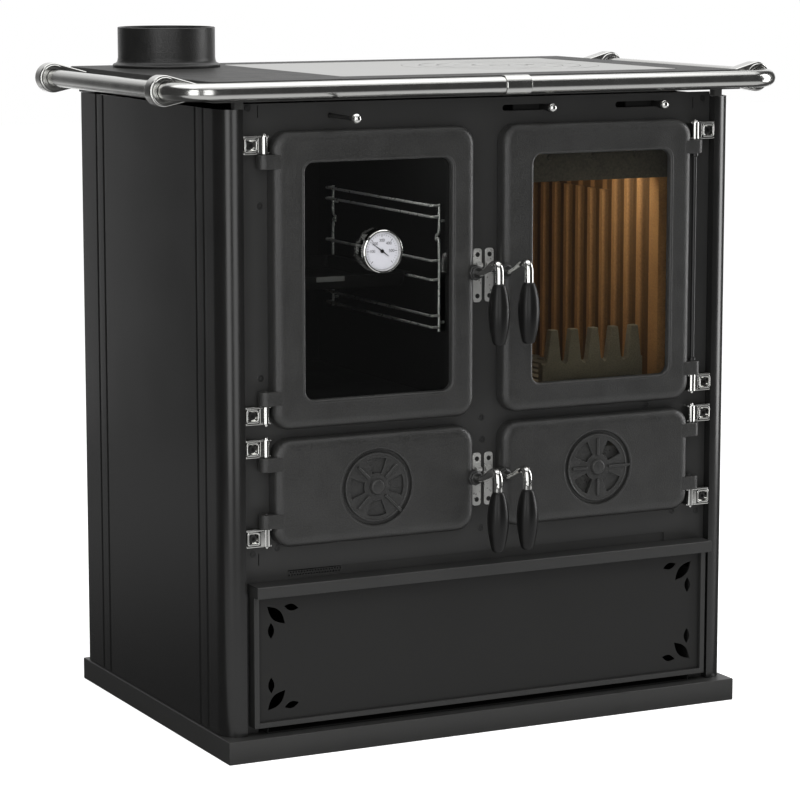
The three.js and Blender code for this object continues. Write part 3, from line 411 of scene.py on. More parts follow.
# %% [markdown]
# A piece takes one or more solids. Flat faces stay flat beside their broken edges, because the weighted
# normals give the large faces the say. The piece rides on the body of the node that it stands for.

# %% From solids to a piece
def piece(name, solids, material, node, replaces=True, body=None, sharp=38):
    """Joins solids into one object in metres, with its finish, its body and the node that it replaces."""
    merged = bmesh.new()
    for bm in solids if isinstance(solids, list) else [solids]:
        part = bpy.data.meshes.new("part")
        bm.to_mesh(part)
        merged.from_mesh(part)
        bm.free()
        bpy.data.meshes.remove(part)
    bmesh.ops.scale(merged, vec=(MM, MM, MM), verts=merged.verts[:])
    mesh = bpy.data.meshes.new(name)
    merged.to_mesh(mesh)
    merged.free()
    mesh.materials.append(material)
    mesh.polygons.foreach_set("use_smooth", [True] * len(mesh.polygons))
    mesh.set_sharp_from_angle(angle=radians(sharp))
    made = bpy.data.objects.new(name, mesh)
    bpy.context.scene.collection.objects.link(made)
    normals = made.modifiers.new("flat_faces", "WEIGHTED_NORMAL")
    normals.keep_sharp = True
    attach(made, body or body_of[node])
    if replaces:
        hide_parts(node)
    return made


def ends(node):
    """The lowest and highest corner of a node, in millimetres."""
    low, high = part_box(node)
    return low / MM, high / MM


# %% [markdown]
# ## Plinth and casing
# The plinth is a flat steel box with an air duct through its back. Each side of the stove is one sheet,
# rolled round the front corner, with two pressed grooves near each end.

# %% Plinth
low, high = ends("plinth")
duct_side, skin = 20, 3
duct = block(low.x + duct_side, high.x - duct_side, low.y + skin, high.y + 9, skin, high.z - skin, edge=0)
plinth_sides = [c for pair in zip(low, high) for c in pair]
plinth_solid = carve(block(*plinth_sides, edge=1.4, steps=2), duct)
piece("plinth_box", plinth_solid, plinth_black, "plinth")

# %% Casings
casing_low, casing_high = ends("casing_left")
corner_radius, steel, groove_width, groove_depth = 27, 3, 7, 1.6
face_return = 17
grooves_from_end = (56, 81.5)


def groove(x, middle, towards):
    """A round-bottomed groove down the casing, walked along Y in the given direction."""
    steps = 10
    shape = []
    for i in range(steps + 1):
        t = i / steps - 0.5
        shape.append((x + groove_depth * (0.5 + 0.5 * cos(2 * pi * t)), middle + towards * t * groove_width))
    return shape


def casing_plan():
    """The left casing from above: back flange, side, corner and the return beside the front plate."""
    x, back, front = casing_low.x, casing_high.y, casing_low.y
    r = corner_radius
    middles = [back - d for d in grooves_from_end] + [front + d for d in reversed(grooves_from_end)]
    side = [p for m in middles for p in groove(x, m, -1)]
    inner_corner = arc(x + r, front + r, r - steel, 270, 180, 14)
    return (
        [(casing_high.x, back), (x, back)]
        + side
        + arc(x + r, front + r, r, 180, 270, 24)
        + [(x + r + steel, front), (x + r + steel, front + face_return), (x + r, front + face_return)]
        + inner_corner
        + [(x + steel, back - steel), (casing_high.x, back - steel)]
    )


plan = casing_plan()
for side, sign in (("left", 1), ("right", -1)):
    outline = [(sign * x, y) for x, y in plan]
    piece(
        f"side_casing_{side}",
        sheet("Z", outline, [], casing_low.z, casing_high.z, edge=0),
        satin,
        f"casing_{side}",
    )
print("casing height:", round(casing_high.z - casing_low.z), "mm")

# %% [markdown]
# ## Front plate
# One sheet carries both doors and the controls. It has a shallow recess over the drawer with a small
# perforated vent at its left end, and flat screws that hold it and what is behind it.

# %% Screws
def screw(x, z, y, radius=4.4):
    """A flat-headed screw with a star socket, its head a hair proud of the plate."""
    section = [(0, y + 1), (radius, y + 1), (radius, y - 0.3), (radius - 0.5, y - 0.7), (0, y - 0.7)]
    head = turned("Y", x, z, section, 24)
    arm, deep = radius * 0.42, 1.2
    for turn in (0, 60, 120):
        a = radians(turn)
        along, off = Vector((cos(a), sin(a))), Vector((-sin(a), cos(a))) * 0.55
        corners = [along * arm + off, -along * arm + off, -along * arm - off, along * arm - off]
        slot_shape = [(x + c.x, z + c.y) for c in corners]
        head = carve(head, sheet("Y", slot_shape, [], y - deep, y + deep * 0.2, edge=0))
    return head


# %% Front plate
plate_low, plate_high = ends("front_plate")
plate_y = plate_low.y
door_edge_in, door_edge_out, overlap = 20.5, 305.5, 20
sample_door = {"upper": "oven_door", "lower": "ash_door"}
heights = {group: (ends(door)[0].z, ends(door)[1].z) for group, door in sample_door.items()}
slot_middle = 817
vent_left, vent_right, vent_top, vent_deep = -280, 280, 237.5, 1.4
drawer_low, drawer_high = ends("wood_drawer")
holes = []
for sign in (-1, 1):
    x0, x1 = sorted((sign * (door_edge_in + overlap), sign * (door_edge_out - overlap)))
    for z0, z1 in heights.values():
        holes.append(rounded(x0, x1, z0 + overlap, z1 - overlap, 6))
for x in (28, 197):
    holes.append(rounded(x, x + 64, slot_middle - 4, slot_middle + 4, 3.95, 6))
damper_hole_x, damper_hole_z, damper_hole_radius = -218, 814, 3.4
holes.append(circle(damper_hole_x, damper_hole_z, damper_hole_radius, 20))
mouth = ends("wood_drawer")[1].x - 14.5
vent_hole, vent_pitch, row_pitch, vents_in_row = 1.15, 3.9, 3.6, 19
first_vent_x, first_vent_z = -277, 230.5
for row in range(2):
    for i in range(vents_in_row):
        x, z = first_vent_x + vent_pitch * (i + row / 2), first_vent_z + row_pitch * row
        holes.append(circle(x, z, vent_hole, 10))
holes.append(rounded(-280, -205, 236, 237, 0.3, 2))
for x, z in ((-317.5, 813.5), (316.5, 809), (-320.3, 247.5)):
    holes.append(rounded(x - 0.6, x + 0.6, z, z + 15.5, 0.5, 2))
mouth_top = 206
outline = [(plate_low.x, plate_low.z), (-mouth, plate_low.z), (-mouth, mouth_top), (mouth, mouth_top)]
outline += [(mouth, plate_low.z), (plate_high.x, plate_low.z)]
outline += [(plate_high.x, plate_high.z), (plate_low.x, plate_high.z)]
face = sheet("Y", outline, holes, plate_y, plate_high.y, edge=0)
recess = block(vent_left, vent_right, plate_y - 1, plate_y + vent_deep, 222, vent_top, edge=0)
piece("front_sheet", carve(face, recess), charcoal, "front_plate")
screw_places = [(-331, 826), (-316, 704), (331, 822), (-316, 487), (-294, 268), (-328, 263), (-1, 268)]
screw_places += [(250, 415), (293, 266), (331, 263), (-1, 415), (58.5, 383), (58.5, 263), (0.5, 386)]
screws = [screw(x, z, plate_y) for x, z in screw_places]
piece("front_screws", screws, screw_black, "front_plate", replaces=False)
print("front plate holes:", len(holes), "screws:", len(screw_places))

# %% [markdown]
# ## Hob
# The hob is a cast frame with a machined plate let into it. Over the fire the plate has a ring and a lid that
# lift out, with turned grooves. The flue leaves through a cast collar at the back left.

# %% Hob frame
hob_low, hob_high = ends("cooktop_frame")
under, top = hob_high.z - 26, hob_high.z
plate_lo, plate_hi = ends("hob_plate")
gap, ledge, skirt, deck = 0.8, 10, 8, 14
rim = 2.2


def hob_ring_of_points(grow, z, inner=False):
    """A rounded rectangle at a height: round the whole hob, or round the plate's seat."""
    if inner:
        box = (plate_lo.x - gap - grow, plate_hi.x + gap + grow, plate_lo.y - gap - grow, plate_hi.y + gap + grow)
        radius = 6 + gap + grow
    else:
        box = (hob_low.x - grow, hob_high.x + grow, hob_low.y - grow, hob_high.y + grow)
        radius = 4 + grow
    return [(x, y, z) for x, y in rounded(*box, max(radius, 0.5), 6)]


rings = [
    hob_ring_of_points(-0.4, under),
    hob_ring_of_points(0, under + 0.6),
    hob_ring_of_points(0, top - rim),
    hob_ring_of_points(-rim * 0.3, top - rim * 0.3),
    hob_ring_of_points(-rim, top),
    hob_ring_of_points(0.4, top, True),
    hob_ring_of_points(0, top - 0.4, True),
    hob_ring_of_points(0, top - 8.3, True),
    hob_ring_of_points(-ledge, top - 8.3, True),
    hob_ring_of_points(-ledge, top - deck, True),
    hob_ring_of_points(-skirt, top - deck),
    hob_ring_of_points(-skirt, under),
]
collar_low, collar_high = ends("flue_collar")
flue_x, flue_y = (collar_low.x + collar_high.x) / 2, (collar_low.y + collar_high.y) / 2
flue_bore, flue_outer = 62, 66
pipe_hole = turned("Z", flue_x, flue_y, [(0, under), (flue_bore, under), (flue_bore, top + 9), (0, top + 9)])
feet = []
for sign in (-1, 1):
    feet.append(block(sign * 342, sign * 354, -240, -228, 825.3, top - deck + 0.5, edge=0.6))
    feet.append(block(sign * 346, sign * 372, 237, 250, 825.3, top - deck + 0.5, edge=0.6))
piece("hob_casting", [carve(loft(rings, looped=True), pipe_hole), *feet], hob_frame, "cooktop_frame")

# %% Hob plate, ring and lid
ring_low, ring_high = ends("hob_ring")
lid_low, lid_high = ends("hob_lid")
fire_x, fire_y = (ring_low.x + ring_high.x) / 2, (ring_low.y + ring_high.y) / 2
ring_radius, lid_radius = (ring_high.x - ring_low.x) / 2, (lid_high.x - lid_low.x) / 2
base = plate_lo.z
corner = rounded(plate_lo.x, plate_hi.x, plate_lo.y, plate_hi.y, 6)
hole = circle(fire_x, fire_y, ring_radius + 0.6, 96)
piece("hob_steel_plate", sheet("Z", corner, [hole], base, top, edge=1.6, steps=2), ground, "hob_plate")
step = 24.4


def turned_top(radii, level):
    """Points along a flat top with a narrow round groove at each radius, walked inwards."""
    shape = []
    for r in radii:
        shape += [(r + 1.3, level), (r + 0.8, level - 1.3), (r - 0.8, level - 1.3), (r - 1.3, level)]
    return shape


seat = base + 4
ring_section = [(ring_radius - 0.5, top), *turned_top([ring_radius - step, ring_radius - 2 * step], top)]
ring_section += [(lid_radius + 1.1, top), (lid_radius + 0.6, top - 0.5), (lid_radius + 0.6, base)]
ring_section += [(ring_radius - 6, base), (ring_radius - 6, seat), (ring_radius, seat), (ring_radius, top - 0.5)]
lid_section = [(0, base), (lid_radius - 6, base), (lid_radius - 6, seat)]
lid_section += [(lid_radius, seat), (lid_radius, top - 0.5)]
lid_section += [(lid_radius - 0.5, top), *turned_top([lid_radius - step, lid_radius - 2 * step], top), (0, top)]
piece("cooking_ring", turned("Z", fire_x, fire_y, ring_section, 128, looped=True), ground, "hob_ring")
lid = turned("Z", fire_x, fire_y, lid_section, 128)
finger_outline = rounded(fire_x + 40, fire_x + 54, fire_y - 3.5, fire_y + 3.5, 3.4)
finger_slot = sheet("Z", finger_outline, [], top - 4, top + 2, 0)
piece("cooking_lid", carve(lid, finger_slot), ground, "hob_lid")

# %% Flue collar
z0, z1 = collar_low.z, collar_high.z
flange = (collar_high.x - collar_low.x) / 2
collar_section = [
    (flue_bore, z0),
    (flange - 0.5, z0),
    (flange, z0 + 1),
    (flange, z0 + 3),
    (flange - 1.2, z0 + 4.4),
    (flange - 3.2, z0 + 5),
    (flue_outer + 1.6, z0 + 6.4),
    (flue_outer + 0.6, z0 + 9),
    (flue_outer, z0 + 13),
    (flue_outer, z1 - 1),
    (flue_outer - 0.5, z1 - 0.2),
    (flue_outer - 1.2, z1),
    (flue_bore + 0.6, z1),
    (flue_bore, z1 - 0.7),
]
piece("flue_spigot", turned("Z", flue_x, flue_y, collar_section, 96, looped=True), flue_cast, "flue_collar")
print("flue collar at", round(flue_x), round(flue_y), "fire ring at", round(fire_x), round(fire_y))

# %% [markdown]
# ## Towel rail
# Two bent tubes meet in a sleeve at the front. Each is carried by two cast brackets with turned collars.

# %% Rail tubes
rail_low, rail_high = ends("rail_right")
tube_radius = 11.2
rail_z = (rail_low.z + rail_high.z) / 2
rail_x, rail_y = rail_high.x - tube_radius, ends("rail_left")[0].y + tube_radius
bend, joint, sleeve_half, sleeve_radius = 47, 28, 18, 13.2
rail_end = ends("rail_left")[1].y
for side, sign in (("left", -1), ("right", 1)):
    path = [(sign * rail_x, rail_end, rail_z)]
    for i in range(25):
        a = pi / 2 * i / 24
        path.append((sign * (rail_x - bend + bend * cos(a)), rail_y + bend - bend * sin(a), rail_z))
    path.append((joint + sign * 0.15, rail_y, rail_z))
    solids = [swept(path, tube_radius, 48)]
    if sign > 0:
        x0, x1 = joint - sleeve_half, joint + sleeve_half
        r = sleeve_radius
        section = [(tube_radius + 0.3, x0), (r - 0.4, x0), (r, x0 + 0.5), (r, x1 - 0.5), (r - 0.4, x1)]
        solids.append(turned("X", rail_y, rail_z, [*section, (tube_radius + 0.3, x1)], 48, looped=True))
    piece(f"rail_tube_{side}", solids, tube_steel, f"rail_{side}")

# %% Rail brackets
bracket_radius, arm_top, arm_bottom = 19.8, 855, 838


def rail_bracket(sign, middle, blind):
    """A teardrop casting from the hob to the rail, with a stepped collar on each open face."""
    reach = rail_x - hob_high.x - 0.3
    shape = arc(0, 0, bracket_radius, 75, 285, 40)
    shape += [(reach, arm_bottom - rail_z), (reach, arm_top - rail_z)]
    shape = [(sign * (rail_x - x), rail_z + z) for x, z in shape]
    bore = [] if blind else [circle(sign * rail_x, rail_z, tube_radius + 0.4, 48)]
    half = 13.5
    solids = [sheet("Y", shape, bore, middle - half + 3, middle + half - 3, edge=2.2, steps=3)]
    faces = [-1] if blind else [-1, 1]
    for face in faces:
        outer = middle + face * half
        inner = middle + face * (half - 4)
        ring = [(tube_radius + 0.4, inner), (17.6, inner), (17.6, outer - face * 1.2), (16.8, outer - face * 0.4)]
        ring += [(15.2, outer - face * 0.4), (14.6, outer - face * 1), (13.6, outer - face * 1), (13, outer)]
        ring += [(tube_radius + 0.8, outer), (tube_radius + 0.4, outer - face * 0.5)]
        solids.append(turned("Y", sign * rail_x, rail_z, ring, 64, looped=True))
    if blind:
        end = middle + half
        cap = [(0, end), (10, end - 0.3), (15, end - 1.6), (17.6, end - 4), (17.6, end - 8), (0, end - 8)]
        solids.append(turned("Y", sign * rail_x, rail_z, cap, 64))
    return solids


for side, sign in (("left", -1), ("right", 1)):
    for name, middle, blind in (("front", -195, False), ("rear", 195, True)):
        node = f"rail_bracket_{name}_{side}"
        piece(f"rail_holder_{name}_{side}", rail_bracket(sign, middle, blind), tube_steel, node)

# %% [markdown]
# ## Doors
# All four doors are castings with a broad rounded rim, hollow behind. The upper two are frames round a
# pane. The lower two have a round recess for an air disc. Each has two lugs for the hinge pins and a boss for
# the handle. The rim is a loft, whose rings follow the section from the back edge over the face.

# %% The door's section
door_back, door_face, pocket_floor = plate_y - 1, plate_y - 21, plate_y - 13.2
corner_steps = 12
edge_section = [(door_back, 0), (door_face + 10, 0.2), (door_face + 6.6, 1), (door_face + 4.1, 2.6)]
edge_section += [(door_face + 2.3, 4.8), (door_face + 1.1, 7.4), (door_face + 0.35, 10.4), (door_face, 14)]
door_corner, pocket_inset = 24, 9


def door_ring(box, y, inset, radius=door_corner):
    x0, x1, z0, z1 = box
    points = rounded(x0 + inset, x1 - inset, z0 + inset, z1 - inset, radius - inset, corner_steps)
    return [(x, y, z) for x, z in points]


def door_box(sign, group):
    x0, x1 = sorted((sign * door_edge_in, sign * door_edge_out))
    return (x0, x1, *heights[group])


# %% Lugs and bosses
pin_x, pin_y = 314, door_face + 10
lug_radius, pin_bore, lug_height = 9.7, 3.4, 18
boss_x = 21.5
boss_z = {"upper": 608, "lower": 340}
bracket_tops = {"upper": (792, 453), "lower": (411, 296.5)}
bracket_height = 23


def lug(sign, z0):
    """A half-round ear on the door's edge with a bore for the pin."""
    x = sign * pin_x
    inward = sign * (door_edge_out - 26)
    turn = (-90, 90) if sign > 0 else (90, 270)
    shape = arc(x, pin_y, lug_radius, *turn, 16)
    shape += [(inward, shape[-1][1]), (inward, shape[0][1])]
    return sheet("Z", shape, [circle(x, pin_y, pin_bore, 24)], z0, z0 + lug_height, edge=1, steps=2)


def door_fittings(sign, group):
    """Both lugs and the handle's boss."""
    top_bracket, low_bracket = bracket_tops[group]
    lugs = [lug(sign, top_bracket - bracket_height - 0.5 - lug_height), lug(sign, low_bracket + 0.5)]
    front = door_face - 4
    section = [(4.4, front + 15), (10.2, front + 15), (10.2, front + 2), (9.6, front + 0.7), (8.4, front)]
    section += [(5.2, front), (4.4, front + 0.8)]
    return [*lugs, turned("Y", sign * boss_x, boss_z[group], section, 8, looped=True)]


# %% Glazed doors
pane_width, pane_bottom, pane_top, pane_corner, pane_shift = 206, 458, 757, 12, 4
bead = [(door_face, 5.4), (door_face - 0.5, 4.6), (door_face - 0.7, 3.6), (door_face - 0.4, 2.4)]
bead += [(door_face + 0.3, 1.4), (door_face + 1.5, 0.6), (door_face + 3.2, 0.1), (door_face + 5, 0), (pocket_floor, 0)]
column_middle = (door_edge_in + door_edge_out) / 2
for sign, node, name in ((-1, "oven_door", "oven_door_casting"), (1, "fire_door", "fire_door_casting")):
    box = door_box(sign, "upper")
    middle = sign * column_middle + pane_shift
    opening = (middle - pane_width / 2, middle + pane_width / 2, pane_bottom, pane_top)
    rings = [door_ring(box, y, inset) for y, inset in edge_section]
    rings += [door_ring(opening, y, -grow, pane_corner) for y, grow in bead]
    rings += [door_ring(box, pocket_floor, pocket_inset), door_ring(box, door_back, pocket_inset)]
    piece(name, [loft(rings, looped=True), *door_fittings(sign, "upper")], cast, node)
lug_low = bracket_tops["upper"][1] + lug_height + 0.4
lug_high = bracket_tops["upper"][0] - bracket_height - lug_height - 0.4
rod_radius, collar = 3, 4.6
rod = [(0, lug_low), (collar, lug_low), (collar, lug_low + 4), (rod_radius, lug_low + 5)]
rod += [(rod_radius, lug_high - 5), (collar, lug_high - 4), (collar, lug_high), (0, lug_high)]
piece("fire_door_rod", turned("Z", pin_x, pin_y, rod, 24), screw_black, "fire_door", replaces=False)
for side, node in (("oven", "oven_glass"), ("fire", "fire_glass")):
    low, high = ends(node)
    hole = [circle(-155.5, 642, 4, 24)] if side == "oven" else []
    pane = sheet("Y", rounded(low.x, high.x, low.z, high.z, pane_corner), hole, low.y, high.y, edge=0.4)
    piece(f"{side}_pane", pane, glass, node)

# %% Lower doors
recess_radius, recess_deep = 49.5, 4
disc_z = sum(heights["lower"]) / 2
recess_floor = door_face + recess_deep
window_inner, window_outer, window_half = 18, 38, 21


def window(x, z, middle, grow=0.0):
    """A sector of a ring, as a closed outline."""
    half = window_half + grow
    outer = arc(x, z, window_outer + grow, middle - half, middle + half, 10)
    return outer + arc(x, z, window_inner - grow, middle + half, middle - half, 8)


def face_to_circle(x, radius):
    """Points on a circle that go with the points of the door's outline, corner by corner."""
    count = 4 * (corner_steps + 1)
    turns = [-90 + 360 * (i + 0.5) / count for i in range(count)]
    return [(x + radius * cos(radians(t)), disc_z + radius * sin(radians(t))) for t in turns]


for sign, node in ((-1, "lower_left_door"), (1, "ash_door")):
    name = f"{node}_casting"
    box = door_box(sign, "lower")
    x = sign * column_middle
    rings = [door_ring(box, y, inset) for y, inset in edge_section]
    lip = [(door_face, 53.4), (door_face - 0.6, 52.2), (door_face - 0.7, 51.2), (door_face - 0.2, 50.1)]
    lip += [(door_face + 1, recess_radius), (recess_floor, recess_radius), (pocket_floor, recess_radius)]
    rings += [[(a, y, b) for a, b in face_to_circle(x, r)] for y, r in lip]
    rings += [door_ring(box, pocket_floor, pocket_inset), door_ring(box, door_back, pocket_inset)]
    holes = [window(x, disc_z, a, 0.5) for a in (45, 225)] + [circle(x, disc_z, 4.4, 24)]
    dish = sheet("Y", circle(x, disc_z, recess_radius + 1, 96), holes, recess_floor, pocket_floor, edge=0)
    piece(name, [loft(rings, looped=True), dish, *door_fittings(sign, "lower")], cast, node)

# %% Air discs
disc_radius, hub_radius = 45, 10
for side, sign, turn in (("left", -1, -45), ("right", 1, 0)):
    x = sign * column_middle
    back, front = recess_floor - 0.3, recess_floor - 3.4
    windows = [window(x, disc_z, a + turn) for a in (45, 135, 225, 315)]
    solids = [sheet("Y", circle(x, disc_z, disc_radius, 96), windows, front, back, edge=0.5)]
    rim_section = [(45, front + 0.4), (44.6, front - 0.5), (43.6, front - 0.8)]
    rim_section += [(42.6, front - 0.4), (42.2, front + 0.4)]
    solids.append(turned("Y", x, disc_z, rim_section, 96, looped=True))
    hub_front = door_face - 4
    hub = [(0, hub_front), (7.2, hub_front), (8.4, hub_front + 0.4)]
    hub += [(9.3, hub_front + 1.4), (hub_radius, hub_front + 3)]
    solids.append(turned("Y", x, disc_z, [*hub, (10.6, front), (0, front)], 48))
    stem = [(0, back), (4, back), (4, pocket_floor + 2), (0, pocket_floor + 2)]
    solids.append(turned("Y", x, disc_z, stem, 24))
    for a in (0, 90, 180, 270):
        t = radians(a + turn)
        reach = 48 if a == 0 else 38.5
        along, across = Vector((cos(t), sin(t))), Vector((-sin(t), cos(t)))
        corners = [along * r + across * w for r, w in ((16, -1.9), (reach, -1.9), (reach, 1.9), (16, 1.9))]
        rib = [(x + c.x, disc_z + c.y) for c in corners]
        solids.append(sheet("Y", rib, [], door_face - 2.6, front + 0.5, edge=1.2, steps=3))
    piece(f"air_wheel_{side}", solids, cast, f"air_disc_{side}")
print("doors:", 4, "air discs:", 2)

# %% [markdown]
# ## Hinges
# Each hinge bracket is a small chromed casting: a cup with a socket screw, two flanges and a barrel, out of
# which the pin reaches into the door's lug.

# %% Hinge brackets
def hinge(sign, z0, z1, pin_up):
    """The bracket's chromed solids, and its screw."""
    x = sign * pin_x
    back, front = plate_y - 0.3, pin_y - 2
    outer, cup = x + sign * 28.3, x + sign * 9.5
    middle = (z0 + z1) / 2
    cup_middle = (outer + cup) / 2
    left, right = sorted((outer, cup))
    solids = [block(left, right, back - 3, back, z0, z1, edge=0.6)]
    wall = rounded(left + 1, right, z0 + 2.6, z1 - 2.6, 3.2)
    well = rounded(left + 3.4, right - 2.4, z0 + 5, z1 - 5, 2.6)
    solids.append(sheet("Y", wall, [well], front - 0.6, back - 2, edge=0.9, steps=2))
    near, far = sorted((outer, x - sign * 6.6))
    for z in ((z0, z0 + 2.4), (z1 - 2.4, z1)):
        solids.append(block(near, far, front, back, *z, edge=0.8, steps=2))
    web = sorted((cup - sign * 0.5, x))
    solids.append(block(*web, pin_y - 2.5, pin_y + 4, z0 + 2, z1 - 2, edge=0.6))
    barrel = [(0, z0 - 0.0), (4.2, z0), (4.9, z0 + 0.7), (4.9, z1 - 0.7), (4.2, z1), (0, z1)]
    solids.append(turned("Z", x, pin_y, barrel, 32))
    reach = bracket_height / 2 + 0.5 + lug_height - 2
    tip, root = (middle + reach, middle) if pin_up else (middle - reach, middle)
    solids.append(swept([(x, pin_y, root), (x, pin_y, tip)], 3, 24))
    cap = (z0 - 0.1, z0 - 2.6) if pin_up else (z1 + 0.1, z1 + 2.6)
    cap_levels = (cap[0], cap[1] * 0.3 + cap[0] * 0.7, cap[1])
    solids.append(swept([(x, pin_y, z) for z in cap_levels], [3, 3, 2], 24))
    head_radius, hexagon = 5, 2.7
    head = [(0, back - 2), (head_radius, back - 2), (head_radius, front + 1.8)]
    head += [(4.6, front + 1.2), (0, front + 1.2)]
    socket = turned("Y", cup_middle, middle, head, 32)
    star = circle(cup_middle, middle, hexagon, 6)
    return solids, carve(socket, sheet("Y", star, [], front, front + 4.5, edge=0))


for group in ("upper", "lower"):
    for side, sign in (("left", -1), ("right", 1)):
        for place, z1, pin_up in zip(("top", "bottom"), bracket_tops[group], (False, True)):
            node = f"hinge_{group}_{side}_{place}"
            solids, socket = hinge(sign, z1 - bracket_height, z1, pin_up)
            piece(f"bracket_{group}_{side}_{place}", solids, polished, node)
            piece(f"socket_screw_{group}_{side}_{place}", socket, screw_black, node, replaces=False)

# %% [markdown]
# ## Handles and catches
# A polished rod leaves the boss, rises forward, turns down in an elbow and carries a black turned grip. Behind
# the boss it has a finger, which goes behind a catch plate beside the opening.

# %% Handles
rod_radius, neck_radius, rod_out, rod_rise, rod_drop = 4, 6, 60, 15.5, 8


def smooth_path(points, steps=6):
    """A Catmull-Rom curve through points."""
    points = [Vector(p) for p in points]
    padded = [points[0] * 2 - points[1], *points, points[-1] * 2 - points[-2]]
    path = []
    for i in range(1, len(padded) - 2):
        a, b, c, d = padded[i - 1 : i + 3]
        for k in range(steps):
            t = k / steps
            path.append(
                0.5 * (2 * b + (c - a) * t + (2 * a - 5 * b + 4 * c - d) * t * t + (3 * b - a - 3 * c + d) * t**3)
            )
    return path + [points[-1]]


def handle_rod(x, y, z, sign):
    curve = [(x, y, z), (x, y - 12, z + 1), (x, y - 26, z + 6), (x, y - rod_out + 17, z + rod_rise - 2)]
    curve += [(x, y - rod_out + 6, z + rod_rise), (x, y - rod_out + 0.8, z + rod_rise - 6), (x, y - rod_out, z)]
    path = [Vector((x, y + 20.5, z)), *smooth_path([*curve, (x, y - rod_out, z - rod_drop)])]
    reach = [abs(p.y - y) / rod_out for p in path]
    radii = [rod_radius if p.y > y else rod_radius + (neck_radius - rod_radius) * min(1, max(0, r * 3 - 1.2))
             for p, r in zip(path, reach)]
    reach_x = sorted((x, x - sign * 13.5))
    finger = block(*reach_x, y + 16.5, y + 20.5, z - 3, z + 3, edge=1, steps=2)
    return [swept(path, radii, 28), finger]


def handle_nut(x, y, z):
    """The black eight-sided nut that holds the rod in the boss."""
    section = [(4.3, y - 3.4), (7.2, y - 3.4), (8.6, y - 2.4), (8.8, y - 0.3), (4.3, y - 0.3)]
    return turned("Y", x, z, section, 8, looped=True)


def grip(x, y, z):
    """A turned spindle, fullest just above its middle, with a small bead at its top."""
    length, end, belly, foot = 78, 7.3, 14, 7.6
    section = [(0, z), (end - 0.8, z), (end, z - 0.9)]
    for i in range(1, 25):
        t = i / 25
        ends_at = end + (foot - end) * t
        section.append((ends_at + (belly - ends_at) * sin(pi * t**0.9) ** 0.9, z - length * t))
    section += [(foot, z - length + 1.2), (foot - 1.2, z - length), (0, z - length)]
    return turned("Z", x, y, section, 48)


handle_y = door_face - 4
for group in ("upper", "lower"):
    for side, sign in (("left", -1), ("right", 1)):
        x, z = sign * boss_x, boss_z[group]
        node = f"handle_rod_{group}_{side}"
        piece(f"handle_arm_{group}_{side}", handle_rod(x, handle_y, z, sign), polished, node)
        nut = handle_nut(x, handle_y, z)
        piece(f"handle_nut_{group}_{side}", nut, screw_black, node, replaces=False, sharp=20)
        grip_top = z - rod_drop - 0.3
        node = f"handle_grip_{group}_{side}"
        piece(f"spindle_{group}_{side}", grip(x, handle_y - rod_out, grip_top), gloss, node)

# %% Catch plates
def catch_plate(low, high, sign, z):
    """A keyhole-shaped plate with a folded ramp that the handle's finger rides under."""
    shape = rounded(low.x, high.x, low.z, high.z, 4)
    screws = [circle((low.x + high.x) / 2, high.z - 8, 2.6, 24), circle((low.x + high.x) / 2, low.z + 8, 2.6, 24)]
    back = plate_y - 0.3
    flat = sheet("Y", shape, screws, back - 2.2, back, edge=0.5, steps=2)
    x0, x1 = sorted((sign * 3, sign * 11.5))
    ramp = [(back - 1, z + 4), (back - 7, z + 5), (back - 7.6, z + 7), (back - 7, z + 9.5), (back - 1, z + 12)]
    fold = sheet("X", ramp, [], x0, x1, edge=0.6, steps=2)
    heads = [screw((low.x + high.x) / 2, level, back - 1.6, 3.6) for level in (high.z - 8, low.z + 8)]
    return [flat, fold], heads


for group in ("upper", "lower"):
    for side, sign in (("left", -1), ("right", 1)):
        node = f"catch_{group}_{side}"
        plate, heads = catch_plate(*ends(node), sign, boss_z[group])
        piece(f"catch_plate_{group}_{side}", plate, zinc, node)
        piece(f"catch_screws_{group}_{side}", heads, screw_black, node, replaces=False)

# %% [markdown]
# ## Controls
# The damper is a thin black rod with a chromed ball. The two air slides run in slots, each with the same ball
# on a short stem.

# %% Damper and air slides
def knob(x, z, root, tip, stem, radius, cone):
    """A black stem that widens towards its ball, and the ball."""
    flare = [(x, root, z), (x, tip + cone, z), (x, tip + cone * 0.6, z), (x, tip + radius * 0.5, z)]
    rod = swept(flare, [stem, stem + 0.3, stem + 1.8, radius * 0.92], 24)
    bm = bmesh.new()
    bmesh.ops.create_uvsphere(bm, u_segments=32, v_segments=20, radius=radius)
    bmesh.ops.translate(bm, vec=(x, tip, z), verts=bm.verts[:])
    return rod, bm


low, high = ends("damper_rod")
damper_x, damper_z = -218, 814
stem, ball_shape = knob(damper_x, damper_z, high.y, low.y + 6.3, 2.6, 6.3, 16)
blade = block(damper_x - 35, damper_x + 35, high.y - 60, high.y, damper_z - 1.5, damper_z + 1.5, edge=0.5)
piece("damper_stem", [stem, blade], screw_black, "damper_rod")
piece("damper_ball", ball_shape, polished, "damper_rod", replaces=False)
for side, slot_left in (("left", 28), ("right", 197)):
    low, high = ends(f"air_slide_{side}")
    x = slot_left + 64 - 4.3
    stem, ball_shape = knob(x, slot_middle, high.y, low.y + 6, 3.5, 6, 15)
    blade = block(low.x, high.x, high.y - 2, high.y, low.z, high.z, edge=0.3)
    piece(f"slide_stem_{side}", [stem, blade], soot, f"air_slide_{side}")
    piece(f"slide_ball_{side}", ball_shape, polished, f"air_slide_{side}", replaces=False)

# %% [markdown]
# ## Thermometer
# A polished case with a deep bezel holds a white dial with plain numbers. The needle turns with its own body.

